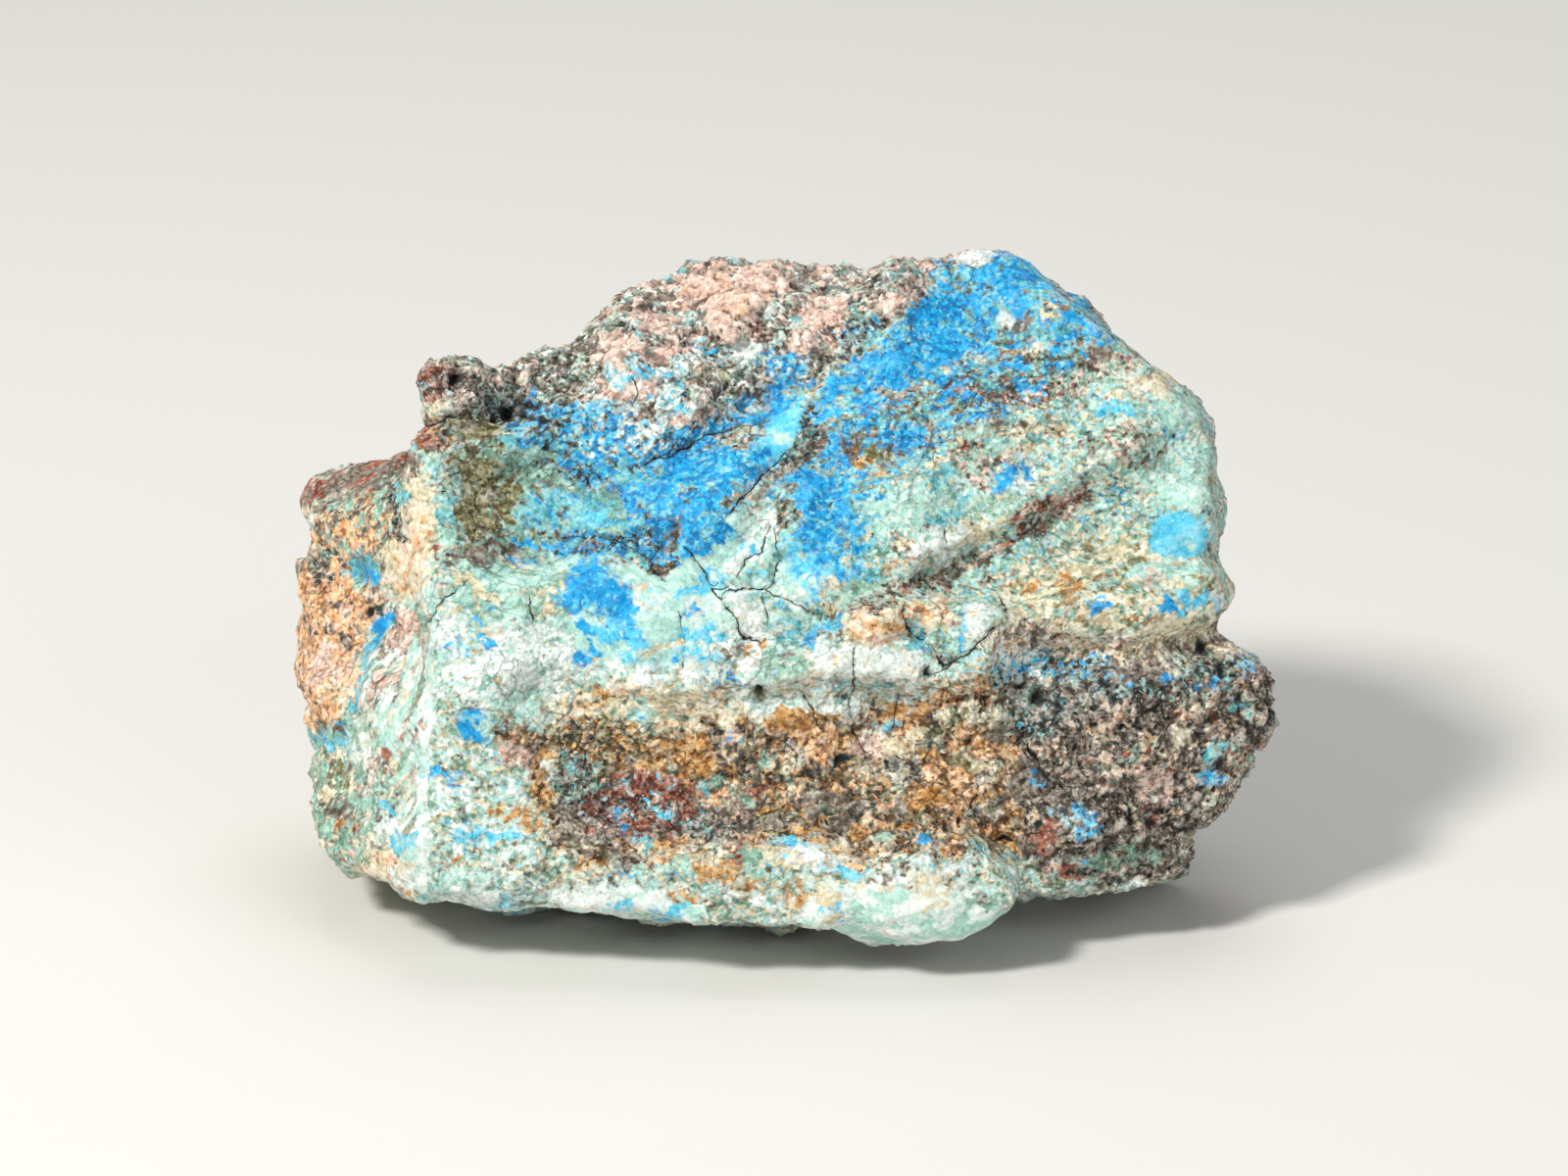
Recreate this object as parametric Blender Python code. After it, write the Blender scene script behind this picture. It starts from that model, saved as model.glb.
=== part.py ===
"""A hand specimen of diaboleite: one broken piece of altered rock, with a blue crust over its front face.

The stone rests on a flat break under its rear half, and its front face leans back. Its shapes are given in the
face's own frame, in millimetres: U to the right, V up the face and W out of the face. place() turns them into the
part's frame, in metres with +Z up, where the origin is under the middle of the stone and the face looks along -Y.

The stone is built as a quarryman would see it: blocks and beds that overlap are fused into one solid, the rim is
broken to its outline, the front is worked with scoops, swells, ledges and cracks, and all of it is weathered.
"""

import math

import bmesh
import bpy
import numpy as np
from mathutils import Matrix, Vector, noise

# Driving dimensions
STONE_WIDTH = 0.080  # across the face, in metres
FACE_WIDTH = 80.0  # the same width in the face frame's millimetres
FACE_LEAN = math.radians(20)  # how far the face leans back from upright
FACE_ORIGIN = Vector((0.4, -22.1, 2.6))  # where U = V = W = 0 lies in the part's frame, in millimetres
UNIT = STONE_WIDTH / FACE_WIDTH

# How the rim is cut: the outline is true at W = 0 and widens a little towards the back
RIM_CENTRE = Vector((0.0, 29.0))
RIM_FLARE = 1 / 480  # share by which the outline widens for each millimetre behind the face
RIM_FRONT, RIM_BACK = 12.0, -48.0

# How fine the solid is
GRAIN_SIZE = 0.8  # spacing of the worked surface, in millimetres
FACET_COUNT = 9600
BACK_SHARE = 1.0  # how much more readily the back gives up its facets

# The rim of the stone as its front face shows it, clockwise from the notch under the top left knob (U, V)
OUTLINE = [
    (-29.6, 42.4), (-30.2, 44.0), (-30.1, 46.0), (-28.7, 47.3), (-26.3, 47.8), (-24.8, 46.8), (-23.4, 47.0),
    (-20.8, 48.3), (-18.2, 48.7), (-16.0, 49.7), (-14.9, 49.8), (-13.9, 51.5), (-12.0, 52.8), (-10.4, 53.1),
    (-8.8, 54.0), (-6.4, 55.0), (-4.2, 54.6), (-0.8, 55.3), (2.2, 55.1), (5.6, 54.9), (9.0, 55.3), (12.2, 55.7),
    (15.8, 56.4), (18.8, 56.5), (20.2, 55.1), (22.2, 53.5), (23.0, 52.7), (24.6, 51.9), (26.2, 50.0),
    (28.2, 48.2), (30.4, 47.2), (31.4, 45.9), (32.8, 45.2), (33.6, 43.9), (35.2, 42.0), (35.6, 39.6),
    (35.0, 37.8), (35.6, 35.4), (35.2, 33.2), (34.6, 31.4), (36.0, 30.2), (36.8, 28.6), (35.8, 26.6),
    (35.8, 24.5), (37.1, 23.9), (38.5, 22.8), (39.5, 21.2), (39.1, 19.4), (39.5, 18.0), (38.7, 16.2),
    (37.4, 14.8), (37.0, 12.8), (36.3, 10.8), (34.8, 9.8), (32.9, 9.2), (32.8, 7.2), (32.2, 5.2), (30.8, 3.9),
    (28.0, 4.0), (24.0, 4.3), (20.8, 3.8), (19.4, 3.0), (14.0, 0.6), (10.4, 0.0), (7.0, 0.0), (4.0, 0.4),
    (0.0, 1.0), (-3.8, 0.8), (-8.0, 1.5), (-12.8, 1.8), (-16.0, 1.8), (-20.0, 2.6), (-24.0, 2.2), (-27.4, 2.4),
    (-30.2, 3.0), (-31.4, 3.9), (-33.6, 5.4), (-35.7, 6.3), (-37.0, 8.0), (-38.3, 10.4), (-38.7, 13.0),
    (-38.2, 16.4), (-38.5, 19.8), (-39.8, 22.2), (-39.5, 24.4), (-38.7, 26.8), (-39.1, 29.0), (-38.6, 32.2),
    (-38.0, 33.8), (-39.1, 35.0), (-39.5, 36.3), (-37.6, 37.9), (-34.0, 39.1), (-31.2, 39.8), (-30.6, 41.2),
]

# The blocks and beds, each the convex hull of its corners (U, V, W)
CORE = [
    (-29.5, 4.5, 1.0), (-24, 2.5, 1.5), (8, 2.0, 2.0), (18.5, 4.5, -0.5), (-29.5, 24, 1.6), (-29.0, 42, -1.0),
    (19, 22, 0.2), (36, 30, -3.5), (38, 43, -6.5), (-24, 46, -4.5), (-16, 52, -11), (-6, 57, -16),
    (14, 58, -15), (22, 58, -13), (30, 51.5, -10), (-24, 45, -20), (-8, 54, -25), (12, 56, -24),
    (26, 50, -21), (37, 40, -19), (37, 30, -22), (-27, 38, -26), (-28, 20, -34), (-20, 16, -38),
    (6, 14, -40), (24, 16, -35), (31, 24, -29), (2, 42, -35), (-14, 34, -36), (-26, 3, -15), (-23, 2, -21),
    (-22, 5, -35), (10, 4, -37), (23, 7, -33), (21, 3, -22), (8, 0.5, -15),
]
UPPER_SLAB = [
    (-9, 30.5, 0.9), (2.4, 27.2, 1.8), (16, 33.2, 0.2), (24, 37.2, -1.4), (38.0, 44.4, -4.6), (31, 51.6, -7.2),
    (24, 57.6, -9.8), (19, 59, -10.6), (8, 53, -9.0), (-4, 46.5, -5.0), (-15, 42.5, -3.4), (-14, 36, -1.2),
    (0, 34, -12), (37, 43, -14), (19, 58, -18), (-12, 42, -14),
]
GRANULAR_CAP = [
    (-25, 46.6, -4.8), (-21, 42.8, -2.6), (-12, 38.4, -1.2), (-4, 42.4, -3.0), (6, 49.4, -7.2), (15, 55.6, -9.8),
    (17, 59, -12.6), (-8, 57, -13.6), (-18, 52.6, -10.8), (-25, 49, -8.4), (-10, 44, -16), (8, 55, -22),
]
LEFT_RIB = [
    (-30.6, 42.2, -1.6), (-30.5, 34, -0.8), (-29.8, 28, 0.6), (-27.6, 42.2, 1.0), (-27.2, 31, 2.0),
    (-27.8, 23, 3.0), (-30.4, 20, 1.4), (-29.8, 3.4, 2.2), (-28.6, 3.4, 3.0), (-30, 40, -10), (-26, 40, -10),
    (-26, 6, -8), (-30, 6, -8),
]
LEFT_BLOCK = [
    (-30, 34.4, -2.4), (-41.5, 33.8, -16.0), (-42.0, 30.0, -16.0), (-29.5, 21, -0.6), (-42.5, 22.0, -15.6),
    (-31, 36.0, -6), (-41, 35.0, -24), (-30, 38, -24), (-39.4, 20, -28), (-27, 18, -34), (-38, 30, -30),
]
LEFT_LEDGE = [
    (-29, 35.4, -2.6), (-41.5, 34.4, -15.4), (-41.5, 36.2, -15.8), (-29, 38.4, -4.6), (-29, 42.0, -14),
    (-36, 40.4, -17), (-41.5, 38.4, -23), (-29, 41, -23), (-40, 35, -25), (-29, 35, -24),
]
LOWER_LEFT = [
    (-30.0, 1.6, 1.6), (-30.0, 22, 1.4), (-42.0, 21.4, -14.6), (-41.4, 12, -13.6), (-39.8, 6.4, -12.0),
    (-34.8, 2.6, -5.6), (-37.6, 18, -28), (-34.4, 9, -29), (-26, 5, -33), (-26, 24, -33),
]
KNOB = [
    (-30.2, 42.9, -0.6), (-31.0, 46.2, -1.4), (-29.2, 48.4, -2.4), (-26.0, 49.2, -3.4), (-23.8, 47.6, -3.6),
    (-24.6, 44.2, -1.0), (-27, 42.7, 0.8), (-30.4, 46.0, -9), (-25, 48, -12), (-23, 42, -12), (-29.6, 41, -10),
]
MIDDLE_SHELF = [
    (-28.6, 30.2, 2.0), (-28.6, 22, 3.2), (-8, 30.8, 1.4), (-1, 29.6, 1.9), (13, 26.2, 1.9), (18, 28.4, 0.9),
    (19, 23.6, 1.4), (12, 20.8, 2.8), (-10, 20.6, 3.8), (-20, 20.9, 3.8), (-27, 22, -8), (18, 22, -8),
    (14, 28, -8), (-27, 30, -8),
]
BOTTOM_LEDGE = [
    (-29.8, 3.2, 2.2), (-29.8, 9.4, 3.0), (-20, 8.0, 3.8), (0, 8.3, 3.8), (16, 7.8, 3.4), (20.0, 5.2, 1.4),
    (14, 0.9, 1.4), (4, 0.6, 3.0), (-8, 1.8, 3.0), (-20, 2.6, 2.8), (-28, 7, -10), (18, 8, -10), (12, 4, -9),
    (-20, 5, -10),
]
LOWER_LEFT_CHEEK = [
    (-29.8, 8, 2.4), (-29.8, 21, 2.4), (-23.6, 20.6, 3.2), (-22.6, 14, 2.0), (-18.8, 8, 3.2), (-18, 14, 0.4),
    (-28, 10, -6), (-18, 18, -6),
]
RIGHT_BLOCK = [
    (18.8, 21.6, -0.6), (30, 22.4, -1.6), (40.4, 24.8, -4.0), (42.0, 20.6, -5.6), (41.6, 17.4, -5.6),
    (39.8, 10.4, -5.4), (35.0, 6.4, -4.4), (34.6, 2.6, -4.0), (20.2, 2.0, -1.6),
    (18.6, 8, -1.0), (28, 14, 0.2), (34, 17, -1.6), (20, 20, -20), (40, 22, -15), (39.5, 12, -17),
    (32, 4, -18), (20, 3, -21),
]
RIGHT_BED = [
    (17, 27.6, 1.0), (24, 30.4, -0.2), (38.6, 31.6, -3.4), (39.0, 28.6, -4.4), (38.8, 25.8, -3.8),
    (24, 24.8, 0.8), (19, 24.4, 1.3), (24, 28, -14), (38.2, 28.6, -16), (36, 26, -14),
]
BLOCKS = {
    "core": CORE,
    "upper_slab": UPPER_SLAB,
    "granular_cap": GRANULAR_CAP,
    "left_rib": LEFT_RIB,
    "left_block": LEFT_BLOCK,
    "left_ledge": LEFT_LEDGE,
    "lower_left": LOWER_LEFT,
    "knob": KNOB,
    "middle_shelf": MIDDLE_SHELF,
    "bottom_ledge": BOTTOM_LEDGE,
    "lower_left_cheek": LOWER_LEFT_CHEEK,
    "right_block": RIGHT_BLOCK,
    "right_bed": RIGHT_BED,
}

# The smooth lens of pale rock let into the bottom ledge
LENS_CENTRE, LENS_RADII, LENS_TURN = (10.2, 3.9, 1.2), (9.8, 4.0, 4.2), math.radians(4)

# Hollows and swells of the front: centre (U, V), radii, turn in degrees, height out of the face
HOLLOWS_AND_SWELLS = [
    ((-5.0, 14.0), (19.0, 6.0), 0, -1.2),  # the brown recess between shelf and ledge
    ((10.5, 14.5), (7.0, 6.0), 0, -1.0),
    ((-20.0, 36.4), (7.0, 5.0), 0, -1.3),  # the olive hollow beside the rib
    ((-22.2, 43.6), (2.6, 1.8), 20, -3.4),  # the black pocket
    ((-26.4, 46.0), (1.2, 0.8), 40, -1.4),  # the hole in the knob
    ((-9.0, 45.6), (5.0, 3.2), 10, 1.3),  # the tongue of granular rock over the blue
    ((-4.0, 51.6), (7.0, 3.0), 10, 1.0),
    ((1.4, 41.5), (1.6, 3.4), -25, 0.9),  # the thin blade that stands out of the blue
    ((4.6, 38.6), (1.3, 4.6), -30, -0.8),
    ((11.0, 42.0), (7.0, 4.0), 25, 0.7),
    ((26.0, 40.0), (6.0, 3.0), 25, 0.6),
    ((30.0, 33.8), (4.0, 2.6), 0, 0.7),
    ((-4.6, 28.0), (2.4, 2.2), 0, 0.9),  # the chip of white rock
    ((7.5, 26.4), (4.2, 1.6), 8, 0.9),  # the two ochre bricks under the long crack
    ((10.0, 22.8), (5.0, 1.8), 0, 0.8),
    ((26.0, 8.5), (4.5, 2.6), -30, 0.8),
    ((30.0, 12.0), (5.0, 2.4), 15, -0.9),
    ((-34.5, 30.5), (2.0, 1.6), -30, -1.2),  # the green hollow in the left block
]

# Cracks and grooves of the front: half width, depth, then the points they run through (U, V)
CRACKS = [
    (0.8, 1.1, [(2.0, 25.4), (5.0, 27.9), (9.0, 29.0), (16.0, 32.2), (20.4, 34.0), (24.0, 36.4), (30.4, 40.2)]),
    (0.8, 1.8, [(-30.8, 42.3), (-28.0, 42.5), (-25.6, 43.0), (-23.6, 43.4)]),
    (1.3, 1.4, [(19.5, 23.6), (26.0, 23.4), (32.0, 24.2), (37.6, 24.9)]),
    (0.7, 1.6, [(19.4, 22.0), (19.2, 17.4), (20.8, 13.2), (17.8, 11.6), (17.6, 8.6), (21.0, 5.0)]),
    (0.8, 1.2, [(-12.0, 38.6), (-8.0, 39.8), (-4.4, 43.0), (0.0, 44.8), (3.4, 48.2)]),
    (0.7, 1.1, [(2.6, 43.6), (1.6, 40.0), (-1.6, 35.6), (-3.4, 32.4)]),
    (0.7, 0.9, [(-27.2, 31.2), (-20.0, 31.4), (-14.0, 31.4), (-9.0, 29.4)]),
    (0.8, 1.0, [(-35.0, 24.0), (-32.4, 27.4), (-30.4, 30.6)]),
]

# Weathering: the edges wander, the breaks fall into small planes, and lumps and grains lie over them
SEED = 11
RAGGED_REACH, RAGGED_LENGTH = 1.6, 7.0
LUMP_HEIGHT, LUMP_SIZE = 0.5, 6.0
GRAIN_HEIGHT, GRAIN_LENGTH = 1.2, 3.0
BREAK_HEIGHT, BREAK_SIZE = 1.9, 9.0  # at the back and the sides
CHIP_HEIGHT, CHIP_SIZE = 0.7, 3.0  # in front, where the chips follow the beds
BED_ANGLE, BED_STRETCH = math.radians(14), 2.6
GRANULAR_ROCK = [
    ((-6.0, 50.0), (22.0, 6.0), 12),
    ((30.0, 13.0), (12.0, 10.0), 0),
    ((-4.0, 14.0), (22.0, 6.0), 0),
    ((-36.0, 30.0), (5.0, 8.0), 0),
]


def place():
    """The matrix from the face frame, in millimetres, to the part's frame, in metres."""
    lean = Matrix.Rotation(-FACE_LEAN, 4, "X")
    axes = Matrix(((1, 0, 0, 0), (0, 0, -1, 0), (0, 1, 0, 0), (0, 0, 0, 1)))  # U, V, W along X, Z and -Y
    return Matrix.Scale(UNIT, 4) @ Matrix.Translation(FACE_ORIGIN) @ lean @ axes


def add_object(name, mesh_builder):
    """Adds a mesh object whose vertices bmesh code writes in the face frame."""
    mesh = bpy.data.meshes.new(name)
    shape = bmesh.new()
    mesh_builder(shape)
    bmesh.ops.recalc_face_normals(shape, faces=shape.faces)
    shape.to_mesh(mesh)
    shape.free()
    made = bpy.data.objects.new(name, mesh)
    bpy.context.scene.collection.objects.link(made)
    return made


def add_block(name, corners):
    def build(shape):
        for corner in corners:
            shape.verts.new(corner)
        hull = bmesh.ops.convex_hull(shape, input=shape.verts)
        loose = [g for g in hull["geom_interior"] if isinstance(g, bmesh.types.BMVert)]
        bmesh.ops.delete(shape, geom=loose, context="VERTS")

    return add_object(name, build)


def add_lens():
    def build(shape):
        turn = Matrix.Translation(LENS_CENTRE) @ Matrix.Rotation(LENS_TURN, 4, "Z")
        bmesh.ops.create_icosphere(
            shape, subdivisions=3, radius=1.0, matrix=turn @ Matrix.Diagonal((*LENS_RADII, 1))
        )

    return add_object("lens", build)


def add_rim():
    """The solid that holds all that lies inside the outline, from in front of the face to behind the stone."""

    def ring(shape, depth):
        widened = 1 - depth * RIM_FLARE
        return [shape.verts.new((*(RIM_CENTRE + (Vector(p) - RIM_CENTRE) * widened), depth)) for p in OUTLINE]

    def build(shape):
        front, back = ring(shape, RIM_FRONT), ring(shape, RIM_BACK)
        shape.faces.new(front)
        shape.faces.new(back)
        for i in range(len(OUTLINE)):
            after = (i + 1) % len(OUTLINE)
            shape.faces.new((front[i], front[after], back[after], back[i]))

    return add_object("rim", build)


def apply_modifiers(target):
    """Replaces the object's mesh by the one its modifiers make."""
    graph = bpy.context.evaluated_depsgraph_get()
    made = bpy.data.meshes.new_from_object(target.evaluated_get(graph))
    target.modifiers.clear()
    target.data = made


def combine(target, tool, operation):
    """Joins the tool to the target, or cuts the target by it, and removes the tool."""
    boolean = target.modifiers.new(operation.lower(), "BOOLEAN")
    boolean.operation, boolean.object = operation, tool
    bpy.context.view_layer.update()
    apply_modifiers(target)
    bpy.data.objects.remove(tool)


def remesh(target, spacing):
    """Gives the surface even quads of this spacing, in the units of the mesh."""
    voxels = target.modifiers.new("even grain", "REMESH")
    voxels.mode, voxels.voxel_size = "VOXEL", spacing
    apply_modifiers(target)


def points_of(mesh):
    found = np.empty(len(mesh.vertices) * 3, np.float32)
    mesh.vertices.foreach_get("co", found)
    return found.reshape(-1, 3).astype(float)


def normals_of(mesh):
    found = np.empty(len(mesh.vertices) * 3, np.float32)
    mesh.vertex_normals.foreach_get("vector", found)
    return found.reshape(-1, 3).astype(float)


def inside_oval(points, centre, radii, turn=0.0):
    """1 in the middle of an oval on the face, falling smoothly to 0 at its edge."""
    angle = math.radians(turn)
    away = points[:, :2] - np.array(centre)
    along = (away[:, 0] * math.cos(angle) + away[:, 1] * math.sin(angle)) / radii[0]
    across = (away[:, 1] * math.cos(angle) - away[:, 0] * math.sin(angle)) / radii[1]
    fall = np.clip(1 - along**2 - across**2, 0, 1)
    return fall * fall * (3 - 2 * fall)


def distance_to_path(points, path):
    """How far each point lies from a path on the face, seen from the front."""
    nearest = np.full(len(points), np.inf)
    for start, end in zip(path, path[1:]):
        start, step = np.array(start), np.array(end) - np.array(start)
        away = points[:, :2] - start
        share = np.clip(away @ step / (step @ step), 0, 1)
        nearest = np.minimum(nearest, np.linalg.norm(away - share[:, None] * step, axis=1))
    return nearest


def worked_front(points, facing):
    """How far each point moves out of the face for the hollows, swells and cracks."""
    height = np.zeros(len(points))
    for centre, radii, turn, rise in HOLLOWS_AND_SWELLS:
        height += rise * inside_oval(points, centre, radii, turn)
    for half_width, depth, path in CRACKS:
        height -= depth * np.exp(-((distance_to_path(points, path) / half_width) ** 2))
    return height * facing


def broken_planes(at, size):
    """Height of a break made of small planes, each tilted its own way, from -1 to 1."""
    centre = noise.voronoi(at / size)[1][0]
    tilt = noise.noise_vector(centre * 3.7)
    return tilt.dot(at / size - centre) + 0.6 * noise.noise(centre * 5.1)


def weathering(points, facing):
    """How far each point moves along its normal for breaks, lumps and grains."""
    granular = 1 - facing
    for centre, radii, turn in GRANULAR_ROCK:
        granular = np.maximum(granular, inside_oval(points, centre, radii, turn))
    along_beds = Matrix.Diagonal((1 / BED_STRETCH, 1, 1)) @ Matrix.Rotation(-BED_ANGLE, 3, "Z")
    moved = np.empty(len(points))
    for i, point in enumerate(points):
        at = Vector(point)
        moved[i] = (
            BREAK_HEIGHT * (1 - facing[i]) * broken_planes(at, BREAK_SIZE)
            + CHIP_HEIGHT * facing[i] * broken_planes(along_beds @ at, CHIP_SIZE)
            + LUMP_HEIGHT * noise.fractal(at / LUMP_SIZE, 1.0, 2.0, 2)
            + GRAIN_HEIGHT * granular[i] * (0.45 - noise.voronoi(at / GRAIN_LENGTH)[0][0])
        )
    return moved


def move_points(mesh, points):
    mesh.vertices.foreach_set("co", points.astype(np.float32).ravel())
    mesh.update()


def make_ragged(target):
    """Lets every straight edge of the blocks wander a little."""
    points = points_of(target.data)
    for i, point in enumerate(points):
        points[i] += RAGGED_REACH * np.array(noise.turbulence_vector(Vector(point) / RAGGED_LENGTH, 2, False))
    move_points(target.data, points)


def work_surface(target):
    """Moves the points of the even surface: the front first, then the weathering all round."""
    points, normals = points_of(target.data), normals_of(target.data)
    facing = np.clip((normals[:, 2] - 0.15) / 0.45, 0, 1) * np.clip((points[:, 2] + 17) / 5, 0, 1)
    points[:, 2] += worked_front(points, facing)
    points += normals * weathering(points, facing)[:, None]
    move_points(target.data, points)


def drop_crumbs(target):
    """Removes the small bits that the trimming has cut off, and keeps the stone."""
    shape = bmesh.new()
    shape.from_mesh(target.data)
    pieces, seen = [], set()
    for start in shape.verts:
        if start in seen:
            continue
        piece, ahead = [], [start]
        seen.add(start)
        while ahead:
            vertex = ahead.pop()
            piece.append(vertex)
            for edge in vertex.link_edges:
                other = edge.other_vert(vertex)
                if other not in seen:
                    seen.add(other)
                    ahead.append(other)
        pieces.append(piece)
    pieces.sort(key=len)
    bmesh.ops.delete(shape, geom=[vertex for piece in pieces[:-1] for vertex in piece], context="VERTS")
    shape.to_mesh(target.data)
    shape.free()


def simplify(target, count):
    """Leaves about this many triangles, most of them in front and where the surface bends."""
    back = target.vertex_groups.new(name="back")
    for i, normal in enumerate(normals_of(target.data)):
        back.add([i], min(max(0.8 - normal[2], 0.35), 1.0), "REPLACE")
    triangles = sum(len(face.vertices) - 2 for face in target.data.polygons)
    fewer = target.modifiers.new("facets", "DECIMATE")
    fewer.ratio = count / triangles
    fewer.vertex_group, fewer.vertex_group_factor = back.name, BACK_SHARE
    fewer.use_collapse_triangulate = True
    apply_modifiers(target)


def cut_base(target):
    """Turns the stone into the part's frame and cuts it flat where it rests."""
    shape = bmesh.new()
    shape.from_mesh(target.data)
    bmesh.ops.transform(shape, matrix=place(), verts=shape.verts)
    everything = shape.verts[:] + shape.edges[:] + shape.faces[:]
    cut = bmesh.ops.bisect_plane(
        shape, geom=everything, dist=1e-7, plane_co=(0, 0, 0), plane_no=(0, 0, -1), clear_outer=True
    )
    rim = [g for g in cut["geom_cut"] if isinstance(g, bmesh.types.BMEdge)]
    bmesh.ops.triangle_fill(shape, use_beauty=True, edges=rim)
    bmesh.ops.recalc_face_normals(shape, faces=shape.faces)
    bmesh.ops.triangulate(shape, faces=[face for face in shape.faces if len(face.verts) > 3])
    shape.to_mesh(target.data)
    shape.free()


def rock_material():
    """Dull altered rock, in the mean colour of its blue crust and pale bands."""
    material = bpy.data.materials.new("altered_rock")
    material.use_nodes = True
    shader = material.node_tree.nodes["Principled BSDF"]
    shader.inputs["Base Color"].default_value = (0.36, 0.45, 0.42, 1)
    shader.inputs["Roughness"].default_value = 0.85
    shader.inputs["Metallic"].default_value = 0.0
    return material


def build_specimen():
    blocks = [add_block(name, corners) for name, corners in BLOCKS.items()] + [add_lens()]
    stone = blocks[0]
    for block in blocks[1:]:
        combine(stone, block, "UNION")
    remesh(stone, GRAIN_SIZE)
    make_ragged(stone)
    combine(stone, add_rim(), "INTERSECT")
    remesh(stone, GRAIN_SIZE)
    work_surface(stone)
    remesh(stone, GRAIN_SIZE)
    drop_crumbs(stone)
    simplify(stone, FACET_COUNT)
    cut_base(stone)
    stone.name = stone.data.name = "specimen"
    stone.data.materials.clear()
    stone.data.materials.append(rock_material())
    return stone


for old in list(bpy.data.objects):
    bpy.data.objects.remove(old)
noise.seed_set(SEED)
build_specimen()
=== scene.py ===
"""The looks of a diaboleite hand specimen: the fine relief of the broken stone and the minerals that colour it.

The stone is one piece. Its places are given in millimetres as they show from in front of the leaning face: U runs
to the right and V up the face, from the middle of its foot, and W points out of the face towards the eye.
"""

import math

import bpy
import numpy as np
from mathutils import Matrix, Vector, noise


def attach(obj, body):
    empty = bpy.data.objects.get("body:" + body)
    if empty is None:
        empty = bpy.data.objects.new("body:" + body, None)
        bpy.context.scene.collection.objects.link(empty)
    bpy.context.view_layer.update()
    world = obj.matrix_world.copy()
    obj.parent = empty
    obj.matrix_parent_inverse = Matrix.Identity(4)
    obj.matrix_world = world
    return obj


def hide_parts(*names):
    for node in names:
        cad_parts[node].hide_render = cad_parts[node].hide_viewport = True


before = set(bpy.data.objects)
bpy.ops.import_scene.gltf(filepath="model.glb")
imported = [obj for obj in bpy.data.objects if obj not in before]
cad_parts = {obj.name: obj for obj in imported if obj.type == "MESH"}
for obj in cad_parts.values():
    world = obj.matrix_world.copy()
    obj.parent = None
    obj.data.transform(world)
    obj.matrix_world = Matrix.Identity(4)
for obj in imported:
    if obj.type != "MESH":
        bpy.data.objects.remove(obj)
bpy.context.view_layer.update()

MM = 0.001

# The leaning face
FACE_LEAN = math.radians(20)
FACE_ORIGIN = np.array((0.4, -22.1, 2.6))  # where U = V = W = 0 lies, in millimetres from the row's origin
FACE_AXES = np.array(
    (
        (1, 0, 0),
        (0, math.sin(FACE_LEAN), math.cos(FACE_LEAN)),
        (0, -math.cos(FACE_LEAN), math.sin(FACE_LEAN)),
    )
)
EYE_DISTANCE = 480.0  # from the face to the eye, along W
EYE_POINT = np.array((0.0, 28.96))  # the (U, V) that the eye looks at

# The fine surface
POINT_SPACING = 0.27  # between points in front, in millimetres
MOST_TRIANGLES = 196_000
SMOOTHING = {"factor": 0.5, "iterations": 10}
# How much the mesh is thinned where the stone turns its side to the front, how much less where it faces the front,
# and the least and the most
THINNED_SIDE, THINNED_STEP, THINNED_RANGE = 0.32, 0.36, (0.1, 0.53)
BASE_BAND = 0.2  # what lies this close to the shelf is the flat break that the stone rests on

# How marks lie on the stone
FRONT_EDGE = (-0.08, 0.12)  # the cosine between the stone's normal and the eye at which the front's marks begin
CRINKLE, WANDER = (0.8, 0.7), (2.4, 0.8)  # the noise that tears the marks' edges: its size and its reach
APART = 31.7  # places this far apart share nothing in a noise
FIELD_EDGE, VEIN_EDGE, SPOT_EDGE = 0.8, 0.3, 0.4  # how far a mark's border is blurred to either side
STRENGTH = 0.85  # of veins and spots, which let some of what they cross show through
BROKEN_STRENGTH = (0.3, 0.6)  # of those of one mineral alone: the least, and what is added where they are thickest
LEAST_COVER = 0.01  # a mark thinner than this is left out
BED_BLUR = 0.5
BED_WAVES = (14.0, 3.0)  # size and height

# How a rock is made up
SMOOTH_BLEND, GRITTY_BLEND = 0.3, 0.1  # how much of it its minerals share, in smooth and in gritty rock
PATCH_WANDER = 0.7  # how far its patches wander, as a share of how far marks' edges do
GRAIN_SIZE, CRUMB_SIZE, CRUMB_SHARE = 1.1, 0.6, 0.6  # a crumb stands out by this share of a grain
LUMP_HEIGHT, LUMP_CRINKLE = 0.2, 0.5  # the height as a share of a lump's size
# painted shade where lumps meet: how wide its edge is and how dark it is
CREASE_EDGE, CREASE_SHADE = (0.05, 0.35), 0.6  # between lumps

# Relief over the whole stone: the size and the height of each noise
SWELLS, BED_LINES, BUMPS = (2.8, 0.24), (0.9, 0.2), (0.7, 0.14)
BACK_FACETS, BACK_BUMPS = (6.0, 0.45), (1.6, 0.2)
SMOOTH_RELIEF = 0.25  # how much of the lines and bumps shows in rock without grit

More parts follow.
